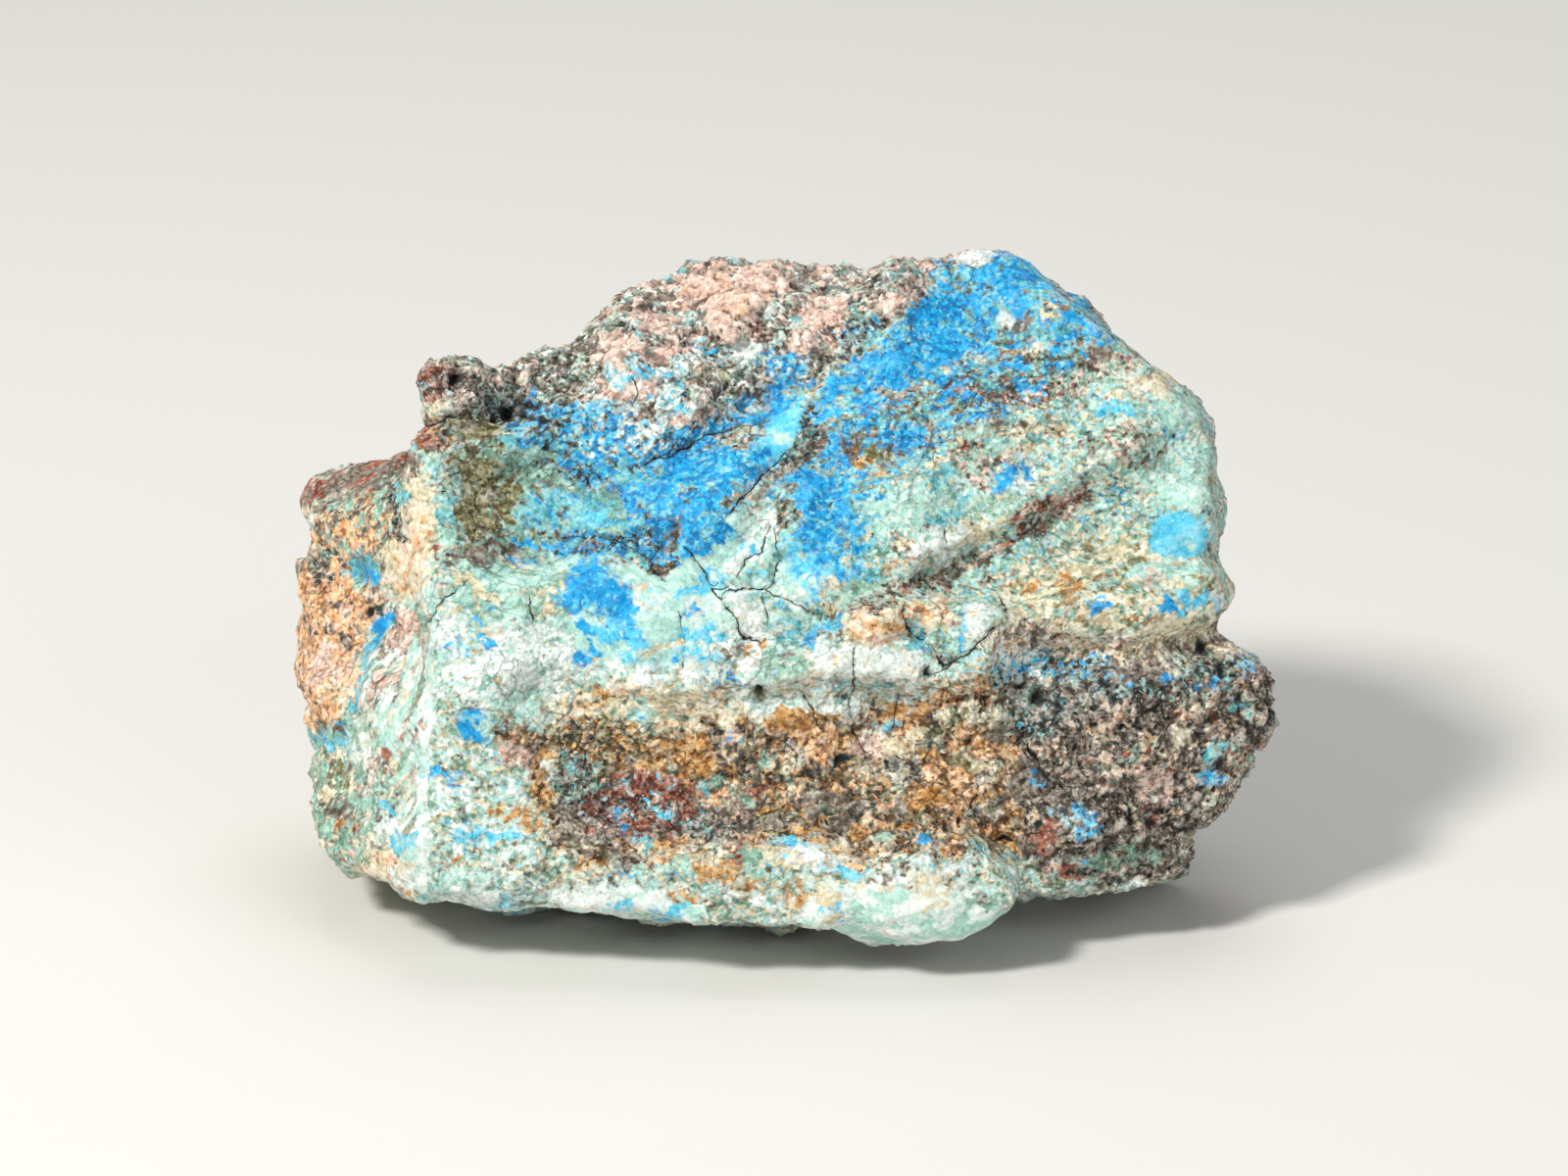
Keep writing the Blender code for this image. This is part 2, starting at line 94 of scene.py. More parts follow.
# Minerals: colours from dark to light, and roughness. Diaboleite is the vivid blue, in crusts of tiny plates with
# a glassy to pearly shine. All the rest is earthy and dull.
MINERALS = {
    "azure": (("#006CA6", "#0699DA", "#30BEF0"), 0.5),
    "sky": (("#2EA6D0", "#5CC8E6", "#9AE0F2"), 0.6),
    "turquoise": (("#3A8A98", "#60B2BC", "#94D2D2"), 0.7),
    "celadon": (("#86B4AA", "#AED8CC", "#D8F0E6"), 0.75),
    "sage": (("#5D8270", "#88AE9A", "#B2D6C6"), 0.8),
    "olive": (("#443F1E", "#76704A", "#AAA680"), 0.85),
    "chalk": (("#B8C6C0", "#E2ECE6", "#FCFEFA"), 0.9),
    "cream": (("#B0A482", "#DCD2B2", "#F8F2E0"), 0.85),
    "salmon": (("#92766A", "#DEBAA8", "#FCE8DC"), 0.85),
    "peach": (("#8E6442", "#E6AC7C", "#FEDEB4"), 0.85),
    "ochre": (("#70461C", "#BA864A", "#E8C086"), 0.85),
    "rust": (("#4A2018", "#864632", "#B6765E"), 0.8),
    "umber": (("#453E36", "#786C60", "#AA9E90"), 0.9),
    "soot": (("#14181A", "#2A3234", "#4A5450"), 0.8),
}
NAMES = list(MINERALS)


class Rock:
    """A kind of rock: how its minerals lie, and the shares of its minerals in percent.

    patch is the size of one mineral's patch, stretch how much longer it runs along its bed, and turn the bed's angle
    in degrees. grain is how far a granular rock's grains stand out, and lumps is the size of its lumps, if it has
    any. rise lifts the whole rock out of its neighbours, grit is how pitted and speckled it is, and torn is how
    ragged its marks' edges are, both from 0 to 1. Lengths are in millimetres.
    """

    def __init__(
        self, patch=1.5, stretch=1.0, turn=0.0, grain=0.0, rise=0.0, grit=0.4, lumps=0.0, torn=1.0, **shares
    ):
        self.patch, self.stretch, self.turn, self.grain = patch, stretch, turn, grain
        self.rise, self.grit, self.lumps, self.torn, self.shares = rise, grit, lumps, torn, shares


ROCKS = {
    # crusts and clays of the upper face
    "blue crust": Rock(0.9, 1.3, 10, grit=0.45, azure=66, sky=16, turquoise=14, umber=4),
    "blue plate": Rock(1.0, grit=0.2, torn=0.7, azure=85, sky=15),
    "blue streaks": Rock(0.7, 2.6, 20, grit=0.55, azure=36, sky=20, turquoise=20, sage=8, umber=10, cream=6),
    "brown blue": Rock(0.6, 2.0, 14, grit=0.7, azure=34, turquoise=28, umber=20, sage=12, rust=6),
    "pale streaks": Rock(0.7, 3.0, 22, grit=0.5, celadon=20, sage=22, turquoise=12, sky=10, cream=26, umber=10),
    "pale wall": Rock(0.7, 2.4, 24, grit=0.5, celadon=26, sage=22, cream=24, sky=12, turquoise=8, umber=8),
    "pink wall": Rock(0.6, 2.2, 20, grit=0.65, umber=26, salmon=20, sage=20, celadon=14, cream=14, rust=6),
    "olive clay": Rock(0.8, 1.8, -8, grit=0.55, sage=54, turquoise=16, olive=20, umber=10),
    "olive brown": Rock(0.8, 1.4, 0, grit=0.6, olive=66, umber=24, sage=10),
    "teal clay": Rock(1.0, 2.2, -10, grit=0.35, turquoise=48, azure=22, sky=10, sage=20),
    "dark teal": Rock(0.8, 1.8, 10, grit=0.45, turquoise=46, azure=26, soot=18, umber=10),
    "banded crust": Rock(0.9, 2.8, 28, grit=0.35, azure=42, turquoise=36, sage=6, umber=16),
    "blue pocket": Rock(0.6, grain=0.1, grit=0.8, azure=40, turquoise=28, soot=28, umber=4),
    "clean sky": Rock(1.4, 1.6, 20, grit=0.1, torn=0.5, sky=80, celadon=20),
    "brown streak": Rock(0.6, 2.4, 24, 0.1, grit=0.9, umber=46, sage=20, olive=14, rust=14, soot=6),
    "red streak": Rock(0.5, 2.6, 20, 0.08, grit=0.8, rust=42, umber=34, salmon=24),
    # the granular cap, the knob and the pocket
    "pink grains": Rock(
        1.1, grain=0.12, rise=0.3, grit=0.6, lumps=2.0,
        salmon=46, umber=20, cream=6, chalk=14, sage=8, turquoise=6,
    ),
    "salmon lump": Rock(1.0, rise=0.8, grit=0.25, lumps=2.4, salmon=86, peach=14),
    "grey grains": Rock(
        0.8, grain=0.2, rise=0.2, grit=0.85, lumps=1.3,
        umber=30, chalk=16, sage=18, cream=12, salmon=18, soot=6,
    ),
    "dark grains": Rock(0.8, grain=0.2, grit=1, umber=40, soot=36, turquoise=12, sage=12),
    "frost": Rock(0.6, grain=0.1, rise=0.15, grit=0.6, chalk=44, sky=30, celadon=10, umber=16),
    "blue frost": Rock(0.5, 1.2, 0, 0.1, grit=0.8, azure=46, sky=26, chalk=16, umber=12),
    # the shelf and its chalky lip
    "grey shelf": Rock(1.6, 1.8, 0, grit=0.3, celadon=42, sage=38, cream=20),
    "celadon bed": Rock(1.6, 1.8, 0, grit=0.2, celadon=66, chalk=16, sky=10, cream=8),
    "pale blue bed": Rock(1.2, 1.6, -30, grit=0.2, sky=50, azure=26, celadon=24),
    "fractured bed": Rock(1.2, 1.6, 40, grit=0.35, chalk=30, celadon=34, cream=14, sky=14, sage=8),
    "chalk bed": Rock(0.8, 1.3, 0, 0.1, grit=0.5, chalk=54, celadon=24, sky=6, cream=14, umber=2),
    "blond bed": Rock(0.8, 1.4, 10, 0.12, grit=0.6, cream=42, celadon=12, peach=20, ochre=10, sage=8, umber=8),
    "brick": Rock(0.8, rise=0.25, grit=0.5, torn=0.3, cream=44, peach=42, ochre=14),
    # the brown band
    "brown grains": Rock(
        2.0, 1.3, 0, 0.12, grit=0.7, lumps=1.5,
        ochre=28, umber=24, olive=16, peach=18, cream=6, sage=8,
    ),
    "olive grains": Rock(0.8, 1.6, 0, 0.14, grit=0.9, olive=50, ochre=42, umber=8),
    "blond grains": Rock(
        1.8, 1.2, 0, 0.12, grit=0.7, lumps=1.8,
        peach=22, ochre=24, umber=14, salmon=8, cream=20, sage=6, olive=6,
    ),
    "rust grains": Rock(0.8, 1.3, -20, 0.14, grit=0.85, rust=56, umber=20, soot=10, salmon=6, sky=8),
    "teal grains": Rock(0.7, 1.0, 0, 0.16, grit=1, sage=28, umber=36, chalk=6, soot=18, turquoise=12),
    # the block on the right and the recess over it
    "block grains": Rock(
        1.2, 1.2, 0, 0.18, grit=0.9, lumps=1.6,
        umber=54, peach=10, cream=6, salmon=6, sage=8, rust=10, soot=6,
    ),
    "rosy grains": Rock(
        1.2, 1.2, 0, 0.18, grit=0.9, lumps=1.6,
        umber=40, salmon=18, peach=12, cream=10, rust=14, sage=6,
    ),
    # its shares are paled, partly as painted light against the shade in the recess
    "pink recess": Rock(0.6, 1.6, 6, 0.14, grit=0.8, cream=42, peach=16, salmon=14, chalk=18, umber=4, rust=6),
    "cream bed": Rock(0.7, 3.2, 6, grit=0.4, cream=44, sage=24, celadon=8, olive=18, ochre=6),
    "blue seam": Rock(0.5, 1.6, -4, 0.12, grit=0.9, azure=24, turquoise=16, umber=22, chalk=6, soot=32),
    # the foot
    "pale foot": Rock(0.7, 2.2, 4, 0.08, grit=0.5, chalk=20, celadon=22, sky=8, cream=24, umber=12, sage=14),
    "white chip": Rock(0.7, rise=0.12, grit=0.4, torn=0.6, chalk=84, cream=16),
    # a painted highlight along the lit arris at the left end
    "arris highlight": Rock(1.0, rise=0.1, grit=0.1, torn=0.5, chalk=70, celadon=30),
    "milky lens": Rock(2.0, 2.4, 8, grit=0.15, celadon=32, chalk=56, cream=12),
    # the left end
    "rosy top": Rock(1.2, 2.4, 14, grit=0.4, rust=36, salmon=10, umber=54),
    "peach bed": Rock(0.9, 1.2, 60, 0.05, grit=0.45, peach=66, salmon=22, umber=12),
    "grey block": Rock(1.2, 1.4, 60, grit=0.4, sage=32, celadon=10, peach=24, umber=34),
    "cream block": Rock(1.2, 2.0, 70, grit=0.3, cream=60, salmon=20, peach=20),
    "grey pink": Rock(1.0, 2.4, 60, grit=0.35, salmon=36, umber=24, sage=20, chalk=20),
    "sage foot": Rock(1.2, 2.4, 30, grit=0.35, sage=36, celadon=18, umber=20, cream=26),
    "striped wall": Rock(grit=0.3, celadon=28, chalk=18, cream=18, sky=6, salmon=8, umber=10, sage=12),
    # the broken back
    "back pink": Rock(
        1.3, grain=0.12, grit=0.7, lumps=2.6,
        umber=42, salmon=20, cream=8, chalk=6, sage=12, ochre=8, soot=4,
    ),
    "back brown": Rock(1.3, grain=0.12, grit=0.7, lumps=2.2, umber=36, ochre=18, peach=12, olive=12, cream=12, sage=10),
    "back pale": Rock(1.6, 2.2, 0, 0.1, grit=0.5, celadon=14, sage=18, cream=24, umber=30, chalk=8, olive=6),
}
ROCKS |= {name: Rock(**{name: 100}) for name in NAMES}  # a mark of one mineral alone

# The beds behind the front face, from the foot up: the highest V of each
BEDS = (("back pale", 7.0), ("back brown", 20.0), ("back pale", 28.0), ("back pink", 99.0))

# The fields of the front face, each painted over those before it: rock, corners (U, V)
FIELDS = [
    ("pale streaks", (-45, -5), (45, -5), (45, 65), (-45, 65)),
    # the upper right wall
    ("pale wall", (12, 36), (20, 39.5), (28, 43), (34, 46), (36, 40), (35, 34), (30, 33.2), (22, 33), (14, 31.4)),
    ("pink wall", (23, 41), (27, 42.2), (30, 42), (29.4, 40), (26, 39)),
    ("pink wall", (14, 39), (20, 40.4), (21.4, 38.8), (19, 37.4), (15, 37.4)),
    ("blue streaks", (0, 41.8), (2.4, 44.2), (4, 46.6), (6.4, 48.2), (8.4, 49.4), (10, 51.4), (11.6, 53.4), (13, 55.6),
     (15, 57), (19, 57.4), (20, 55), (22.4, 53.2), (25, 51), (27, 49), (24, 47), (19.2, 45.6), (16, 44.6), (13.6, 41.6),
     (10.4, 39.4), (7, 38), (3.2, 38.6)),
    ("blue crust", (3, 44), (6, 47.4), (9, 48.6), (11, 51), (12.6, 54), (15, 56.4), (19, 56.8), (20.4, 54.6),
     (19.6, 51), (15.4, 49.4), (14, 47.4), (10, 46), (6, 44.4)),
    ("brown blue", (15, 50), (19, 50.4), (23.6, 49.8), (27, 49.4), (27, 47.4), (22, 46.2), (21.4, 44), (17, 43.8),
     (14, 46.6)),
    ("banded crust", (18.4, 57), (20.4, 56.6), (24.6, 52.8), (26.4, 50), (23.6, 50), (19.6, 51.4), (18.2, 54)),
    ("brown blue", (4, 42.8), (8, 44.4), (13.6, 44.8), (19, 45), (18.4, 43), (13.4, 41.6), (9.6, 39.4), (5, 39)),
    # the long blue field and the olive clay on its left
    ("blue crust", (-21, 44.8), (-16, 44), (-12.8, 42.8), (-8.8, 40.6), (-6.4, 41.6), (-3.2, 43.2), (0.4, 44.6),
     (0, 42), (-1, 39.6), (-2, 37.6), (-4, 34.6), (-5.4, 32), (-8, 30.8), (-10.4, 31.4), (-12.6, 34), (-14.4, 36.6),
     (-17, 39), (-20.6, 40.6), (-23.4, 41.8)),
    ("olive clay", (-27, 42), (-24, 42.4), (-20.6, 41.2), (-17.4, 39.8), (-14.6, 37.6), (-12.8, 35), (-10.4, 33),
     (-11, 31.6), (-16, 32.6), (-20, 32.4), (-22, 31.4), (-27, 31)),
    ("olive brown", (-27, 39.8), (-24.2, 39), (-22.2, 37.4), (-21.6, 35.6), (-23.6, 33.2), (-27, 33.2)),
    ("teal clay", (-22.6, 34.2), (-20, 36.6), (-17, 37.6), (-14.6, 36.4), (-12.4, 34.8), (-11, 33), (-14, 33.2),
     (-17.6, 33.6)),
    ("blue streaks", (-1, 38.4), (2.4, 39.4), (5.4, 39), (8, 37), (8.4, 34), (6, 30.8), (4, 29), (2.6, 28.4), (1.6, 30),
     (1, 32.2), (0, 34.6), (-1.4, 36.4)),
    ("blue crust", (1, 38.4), (3.4, 38.8), (5, 37.6), (5.4, 34.4), (4.4, 31.6), (3.2, 30.4), (2.2, 32), (1.6, 34.6)),
    ("pale blue bed", (-0.6, 33.6), (1, 34), (2.2, 31.6), (3, 29.4), (2.2, 28.2), (1, 29), (-0.2, 31.4)),
    # the granular cap along the top
    ("pink grains", (-31, 47), (-26, 49), (-21, 49.5), (-16, 51), (-13, 54), (-8, 56), (0, 57.5), (16, 58.5),
     (14, 54.8), (11, 53.2), (8, 51.4), (5, 49.4), (3.2, 46.8), (0, 45.2), (-4.4, 43.4), (-8, 42), (-11.2, 40.2),
     (-13.2, 42.6), (-16.2, 43.6), (-20, 44.4), (-24, 43.4), (-26.4, 42.8)),
    ("blue frost", (-18, 43.6), (-13, 43.6), (-10.6, 41.6), (-8, 42.4), (-4.4, 43.6), (-4.4, 41.6), (-8, 40.2),
     (-11.2, 38.9), (-15.2, 39.8), (-19.2, 41.2)),
    ("grey grains", (-27, 48), (-20, 49.4), (-15.6, 50.4), (-14.6, 47), (-16.6, 44.6), (-18.4, 42.4), (-23, 42.4),
     (-26, 43)),
    ("grey grains", (-9, 46), (-4, 46.4), (0, 47.6), (4, 48.8), (6.4, 50), (6, 48.4), (2, 46.2), (-2, 44.6), (-6, 43.4),
     (-9.6, 43.6)),
    ("clean sky", (-1.5, 41.8), (0.2, 43.4), (1.6, 44.5), (2.4, 43.9), (1.4, 41), (-0.4, 38.8), (-1.2, 40)),
    # the pale shelf, its blue tongue and its chalky lip
    ("celadon bed", (-27.4, 31.2), (-20.8, 31.2), (-16, 31), (-12.8, 30.8), (-8.6, 30.6), (-6, 31.2), (-4.6, 33.6),
     (-2, 35), (-0.6, 33), (1.2, 29.4), (1, 26.4), (-0.6, 23.6), (-4, 21.4), (-9, 21.6), (-16, 23.6), (-19.2, 25.4),
     (-27.2, 26.2)),
    ("fractured bed", (-4, 33.8), (-1.6, 35), (-0.4, 33.4), (0.6, 30), (2.4, 27.4), (1.2, 25), (-2, 24.6), (-4.6, 26.6),
     (-5.4, 30.4)),
    ("grey shelf", (-27.6, 31), (-21, 31), (-17.6, 30.4), (-17, 27.4), (-18.6, 25.8), (-22, 26.4), (-27, 26.2)),
    ("blue plate", (-18.4, 27.9), (-17.6, 29.6), (-16.8, 31), (-15, 30.6), (-12.9, 29.3), (-12.6, 27.2), (-11.6, 25.6),
     (-12.6, 24.6), (-15, 25.8), (-16, 26.5)),
    ("pale blue bed", (-15.4, 26.2), (-12.8, 26.6), (-10.8, 24.4), (-10.6, 22.6), (-13.2, 23.6), (-15.6, 25.2)),
    ("chalk bed", (-29, 25.4), (-25.6, 26.6), (-19.2, 25.8), (-16, 23.8), (-10, 22.6), (-6.4, 21.6), (-6.6, 20.8),
     (-16, 21), (-18.4, 20.4), (-20.8, 19.8), (-24.4, 19.6), (-28.6, 19.4)),
    ("chalk bed", (-6.6, 25.4), (-1, 25.8), (2, 25), (4.8, 25), (5, 20.6), (-1, 20.6), (-6.4, 21)),
    ("pale wall", (4, 25), (8, 28.6), (14, 29), (19, 28), (17.6, 24.4), (17, 21.4), (5, 21)),
    ("chalk bed", (4.6, 24.2), (10.6, 24), (12.4, 23), (12, 20.9), (4.8, 20.9)),
    ("teal clay", (9.6, 27), (10.4, 27), (11.6, 24), (10.2, 23.4)),
    ("white chip", (14.6, 27.2), (15.8, 28), (17.2, 27.4), (16.6, 25), (15, 24.6)),
    ("pale wall", (-2, 25.2), (2, 25.4), (2, 21.6), (-1.8, 21.4)),
    ("white chip", (2, 23.5), (5.4, 23.3), (5.5, 21.2), (2.2, 21.2)),
    ("white chip", (6.1, 23.8), (10.4, 23.1), (10.6, 21.4), (6.2, 21)),
    ("white chip", (-4.4, 27.8), (-2, 27.6), (-2, 25.8), (-3.6, 25.4)),
    ("brick", (4.7, 26.9), (9.5, 27.7), (9.8, 25.1), (7.3, 24.3), (5.1, 24.8)),
    ("brick", (10, 27.7), (13.4, 28), (13.6, 26.1), (11.4, 25.7), (10, 26.6)),
    # the lens-shaped bed on the right and the recess under it
    ("pink recess", (16.6, 24.6), (19, 26.4), (24, 26.4), (30, 26.8), (36, 26.8), (38, 23.6), (30, 22.6), (20, 22.6),
     (16.6, 21.6)),
    ("cream bed", (18, 30), (22, 32), (27.6, 33.4), (31, 32), (36, 30.6), (38, 28.6), (35, 25.4), (30.4, 25),
     (25.6, 25), (21, 26), (17, 27.6)),
    # the brown band
    ("brown grains", (-23.4, 17.6), (-20.9, 17.9), (-18.2, 17.5), (-14.9, 18.6), (-11, 18), (-7, 18.6), (0, 19),
     (5.6, 19.2), (11.2, 20.4), (16, 22.2), (19, 22), (20.4, 16.2), (21, 11.4), (19.8, 8), (16, 6.6), (11.2, 7.2),
     (4.8, 8.2), (-3.2, 7.8), (-8, 8.2), (-14.4, 7), (-19.4, 7.2), (-19.6, 11), (-20.8, 13.4), (-23.4, 14.4)),
    ("blond grains", (-2.6, 19.6), (8, 20), (16, 21.8), (18.4, 20), (19.6, 14), (18, 8.6), (15, 8.6), (12, 12),
     (6, 14.6), (1, 14.4), (-1.6, 16)),
    ("blond bed", (-20.8, 19.6), (-16, 21.2), (-6.4, 20.8), (0, 21.2), (14, 21.8), (16, 20.6), (10, 19.4), (3, 18.6),
     (0, 18.2), (-6, 18), (-12, 17.4), (-18, 17.4)),
    # pale stone under the lip, made whiter as painted light against the lip's cast shadow
    ("chalk bed", (-4, 20.8), (2, 20.6), (12, 21), (12, 20), (5, 18.8), (0, 18), (-3, 18.6)),
    ("olive grains", (-20.6, 16.8), (-18.2, 17.6), (-14.9, 18.6), (-12.2, 17.8), (-10.6, 16), (-13, 14.8), (-17, 14.8)),
    ("rust grains", (-15.6, 11), (-14, 13.4), (-11, 13.8), (-8, 12.8), (-6, 11), (-6.4, 9), (-9, 8.2), (-13, 8.8)),
    ("teal grains", (-19.2, 15), (-16, 15.2), (-14.8, 12.6), (-15.6, 10.4), (-18.8, 11)),
    # the pale foot
    ("pale foot", (-29.4, 20.4), (-24.2, 19.6), (-23, 17.8), (-23.4, 14.4), (-21, 13), (-19.6, 9.4), (-19.2, 7),
     (-13, 6.8), (-8, 8), (-3, 7.6), (4, 8.2), (11, 7.2), (16, 6.6), (19.6, 5.6), (21, 3), (16, -1), (0, -1), (-30, -1),
     (-29.6, 12)),
    ("blond grains", (4.4, 7.8), (9, 7.4), (8.6, 6), (4.4, 6.2)),
    ("blond bed", (-18.6, 8.4), (-14, 7.4), (-8, 8.4), (-2, 8), (4, 8.2), (9, 7.4), (8, 6.2), (2, 6.4), (-2, 5.6),
     (-8, 5.6), (-17, 5.2)),
    ("blond grains", (-18.8, 11.4), (-12, 8.4), (-6, 11.2), (2, 11), (3, 9), (-3, 8), (-8, 7.6), (-9, 6.6),
     (-17.6, 6.4), (-19, 8)),
    ("block grains", (-18.8, 11.4), (-15, 11), (-8, 9.2), (-5, 10.8), (0, 10.6), (0, 9.4), (-8, 8.6), (-18, 8.6)),
    ("rust grains", (-16.6, 11.2), (-14.4, 13.2), (-8, 12.8), (-6, 10.8), (-6.8, 9), (-10, 8.8), (-15, 9)),
    ("blond grains", (-2, 10.6), (2.6, 11), (3, 9), (-1.6, 8.6)),
    ("blond bed", (4.4, 8.2), (9, 7.6), (8.6, 5.8), (4.4, 6)),
    ("pale wall", (-16, 6.6), (-6, 6.2), (0, 6.6), (0, 4.8), (-8, 4.8), (-14, 4.8)),
    ("milky lens", (-18.4, 1), (-17.6, 4.6), (-12, 4.6), (-7, 3.2), (-8, 1)),
    ("milky lens", (1.2, 1), (1.8, 3.4), (5, 4.9), (9, 5.5), (13, 5.3), (18.4, 4.4), (20, 3), (14, -1), (5, -1)),
    # the block on the right
    ("block grains", (18.6, 21.6), (24, 21.8), (32, 21.4), (41, 23.8), (41, 16), (38, 10), (34, 7), (33, 4),
     (20.6, 4.2), (19.4, 8.2), (20, 13), (18.6, 17.8)),
    ("pale foot", (17.6, 5.2), (24, 4.8), (31, 4.6), (34.4, 6), (34, 1), (26, 1), (18.4, 2)),
    # the left end: ledge, peach bed and striped wall
    ("striped wall", (-28.6, 31), (-27.6, 27.6), (-28.4, 20), (-29.2, 12), (-29.4, 1), (-42, 1), (-42, 19), (-34.4, 21),
     (-31, 25), (-30, 31)),
    ("sage foot", (-42, 18.4), (-35.8, 18.6), (-32.6, 16.6), (-31.4, 13), (-32, 9), (-33.4, 4), (-42, 2)),
    ("peach bed", (-42, 33.4), (-38.4, 34.4), (-36, 31), (-33.8, 29.4), (-32.8, 28), (-34, 25.4), (-35, 21.6),
     (-35.8, 17.8), (-38.4, 17.6), (-43, 20)),
    ("grey block", (-42, 36.2), (-37.6, 35.9), (-30.6, 38.4), (-30.4, 36.6), (-31.4, 34.6), (-32.2, 30.4), (-32.8, 28),
     (-34.8, 29), (-36.4, 31.2), (-37.6, 33.6)),
    ("grey pink", (-32.8, 28), (-30.9, 27.6), (-30, 25), (-31.4, 22.4), (-33, 19.6), (-35.4, 18.6), (-34.8, 22),
     (-33.8, 25.4)),
    ("cream block", (-31.4, 34.8), (-30.4, 38.2), (-29.6, 37.6), (-28.6, 35), (-28.2, 33), (-29.3, 29.3), (-30.9, 27.7),
     (-32.2, 29.6)),
    ("rosy top", (-42, 36.8), (-38.5, 38), (-30, 41), (-30, 38.5), (-34, 37.4), (-38.2, 36.1), (-41, 35.2)),
    ("pale wall", (-30.4, 42.6), (-27, 42.4), (-27, 29.2), (-28.7, 29.8), (-28, 33), (-28.3, 36), (-29.6, 38)),
]

# Veins and streaks: rock, width, points (U, V)
VEINS = [
    # this one is painted shadow along the groove under the upper face's overhanging edge
    ("brown streak", 1.2, (2.4, 25.8), (4.4, 27), (8, 28.4), (12.8, 29.8), (16, 31.2), (20, 33.6), (24, 35.6)),
    ("blond bed", 1.4, (9, 31), (12.8, 32.3), (15.6, 33.2)),
    ("pale wall", 1.4, (25, 36.8), (27, 38), (29.6, 39.8), (32.4, 41.4)),
    ("red streak", 1.0, (19, 34.6), (22, 36), (24.8, 36.9)),
    ("red streak", 0.4, (28.4, 39.2), (31.4, 40.2)),
    ("chalk", 0.5, (11, 31), (14.4, 32)),
    ("red streak", 0.8, (13.8, 45.2), (18, 44.6), (21.8, 44.8), (24, 46.2), (26, 48)),
    ("umber", 0.6, (8.4, 44.2), (11, 45), (13.8, 45.6)),
    ("red streak", 0.7, (12.8, 39.4), (16, 40.6)),
    ("pink wall", 2.0, (22.4, 45.6), (25, 46.6), (28.6, 47.4)),
    ("cream", 0.4, (13.2, 47.2), (15, 47.6), (17.2, 48.2)),
    ("olive", 0.4, (13, 52.6), (15.6, 53.4), (18, 53.4)),
    ("turquoise", 0.5, (12.6, 50.2), (15.6, 50.6), (18.4, 51.8)),
    ("turquoise", 0.7, (15.6, 54.8), (18, 54.6), (20.6, 54)),
    ("cream", 0.5, (21, 51), (23, 52.4)),
    ("turquoise", 0.9, (19, 49.8), (22, 50), (24.6, 50.6)),
    ("brown streak", 0.8, (-20.6, 34), (-17, 33.2), (-14, 32), (-11, 31), (-9.4, 30.8), (-8.8, 32.4)),
    ("umber", 0.9, (-27, 31.6), (-24.6, 31.8), (-22.4, 31)),
    ("azure", 0.7, (-21.6, 32.4), (-18, 32.2), (-13, 32)),
    ("dark teal", 1.8, (-17.6, 32), (-13.6, 31.9), (-10.8, 32)),
    ("blue pocket", 2.0, (-17.4, 32.6), (-14, 32.4), (-11.4, 32.6)),
    # painted shadow along the lower end of the same groove
    ("dark grains", 0.8, (2.8, 26.4), (4.6, 27.3), (6.4, 28.2), (8.2, 28.8)),
    # painted shade on the shaded side of the fracture step beside the sky wedge
    ("dark grains", 1.5, (2.5, 43.2), (2, 41.4), (1.1, 39.8), (0, 38.2)),
    ("brown streak", 1.4, (0.4, 38.4), (-0.8, 37.4), (-2, 36.4), (-3, 35.4)),
    ("umber", 0.7, (2.9, 42.4), (2.4, 40.4), (1.6, 38.8)),
    ("umber", 0.8, (-8.4, 36.6), (-8.2, 34.6), (-9.4, 33)),
    ("blue seam", 1.2, (17.4, 21.4), (19, 22.6), (21.4, 22.6), (24, 21.8), (28, 21.4), (32, 21.2), (36, 21.4)),
    # painted shadow under the blue seam's ledge
    ("dark grains", 2.0, (20.6, 19), (23, 19.2), (27, 19.8), (32, 21), (36.6, 21.8)),
    ("ochre", 0.6, (19.8, 28.4), (21.2, 30), (23, 30.4), (24.2, 29.4), (23.6, 28.2)),
    ("olive", 0.6, (25, 31.6), (28, 31), (31, 30)),
    ("sage", 0.5, (-28.1, 19.4), (-28.7, 16.1), (-28.4, 12.6), (-28.5, 8), (-28.6, 4)),
    # painted highlight along the lit arris
    ("arris highlight", 0.8, (-28.9, 19.5), (-29.6, 16.1), (-29.3, 12.6), (-29.4, 8), (-29.5, 3.4)),
    ("grey pink", 1.0, (-30.2, 18.1), (-31.4, 16.2), (-32.7, 14.6), (-34.8, 12.6)),
    ("rust", 0.5, (-30.6, 17.4), (-32.7, 14.6)),
    # painted shadow under the knob's undercut
    ("soot", 0.3, (-30.6, 42.1), (-28.6, 42.4), (-26.6, 43)),
    ("blue plate", 0.7, (-32.5, 26.7), (-33, 25.2), (-33.7, 23.9)),
    ("teal clay", 0.7, (-33.7, 23.9), (-34.6, 21.8), (-35.3, 19.6), (-35.9, 17.8)),
    ("dark grains", 0.9, (-32.3, 37.1), (-31.7, 35), (-31.5, 33.2)),
    ("azure", 0.35, (-12.6, 27.1), (-9.8, 26.8), (-7, 26.9)),
    ("turquoise", 0.3, (-8.5, 27), (-8.3, 24.6), (-8.2, 22.4)),
    ("turquoise", 0.3, (-24.2, 30.6), (-23.6, 28.4), (-22.8, 27)),
    ("azure", 0.35, (-11, 22.6), (-8, 22.5)),
    ("azure", 0.35, (-5.8, 21.2), (-3.2, 21.2)),
    ("sky", 0.35, (4.6, 3.2), (3.6, 1.8), (2.9, 0.8)),
    ("umber", 0.35, (6, 4.9), (10, 5.5), (14, 4.9), (16, 3.4)),
    ("cream", 0.6, (6, 4.3), (10, 4.7), (13, 4.2)),
]

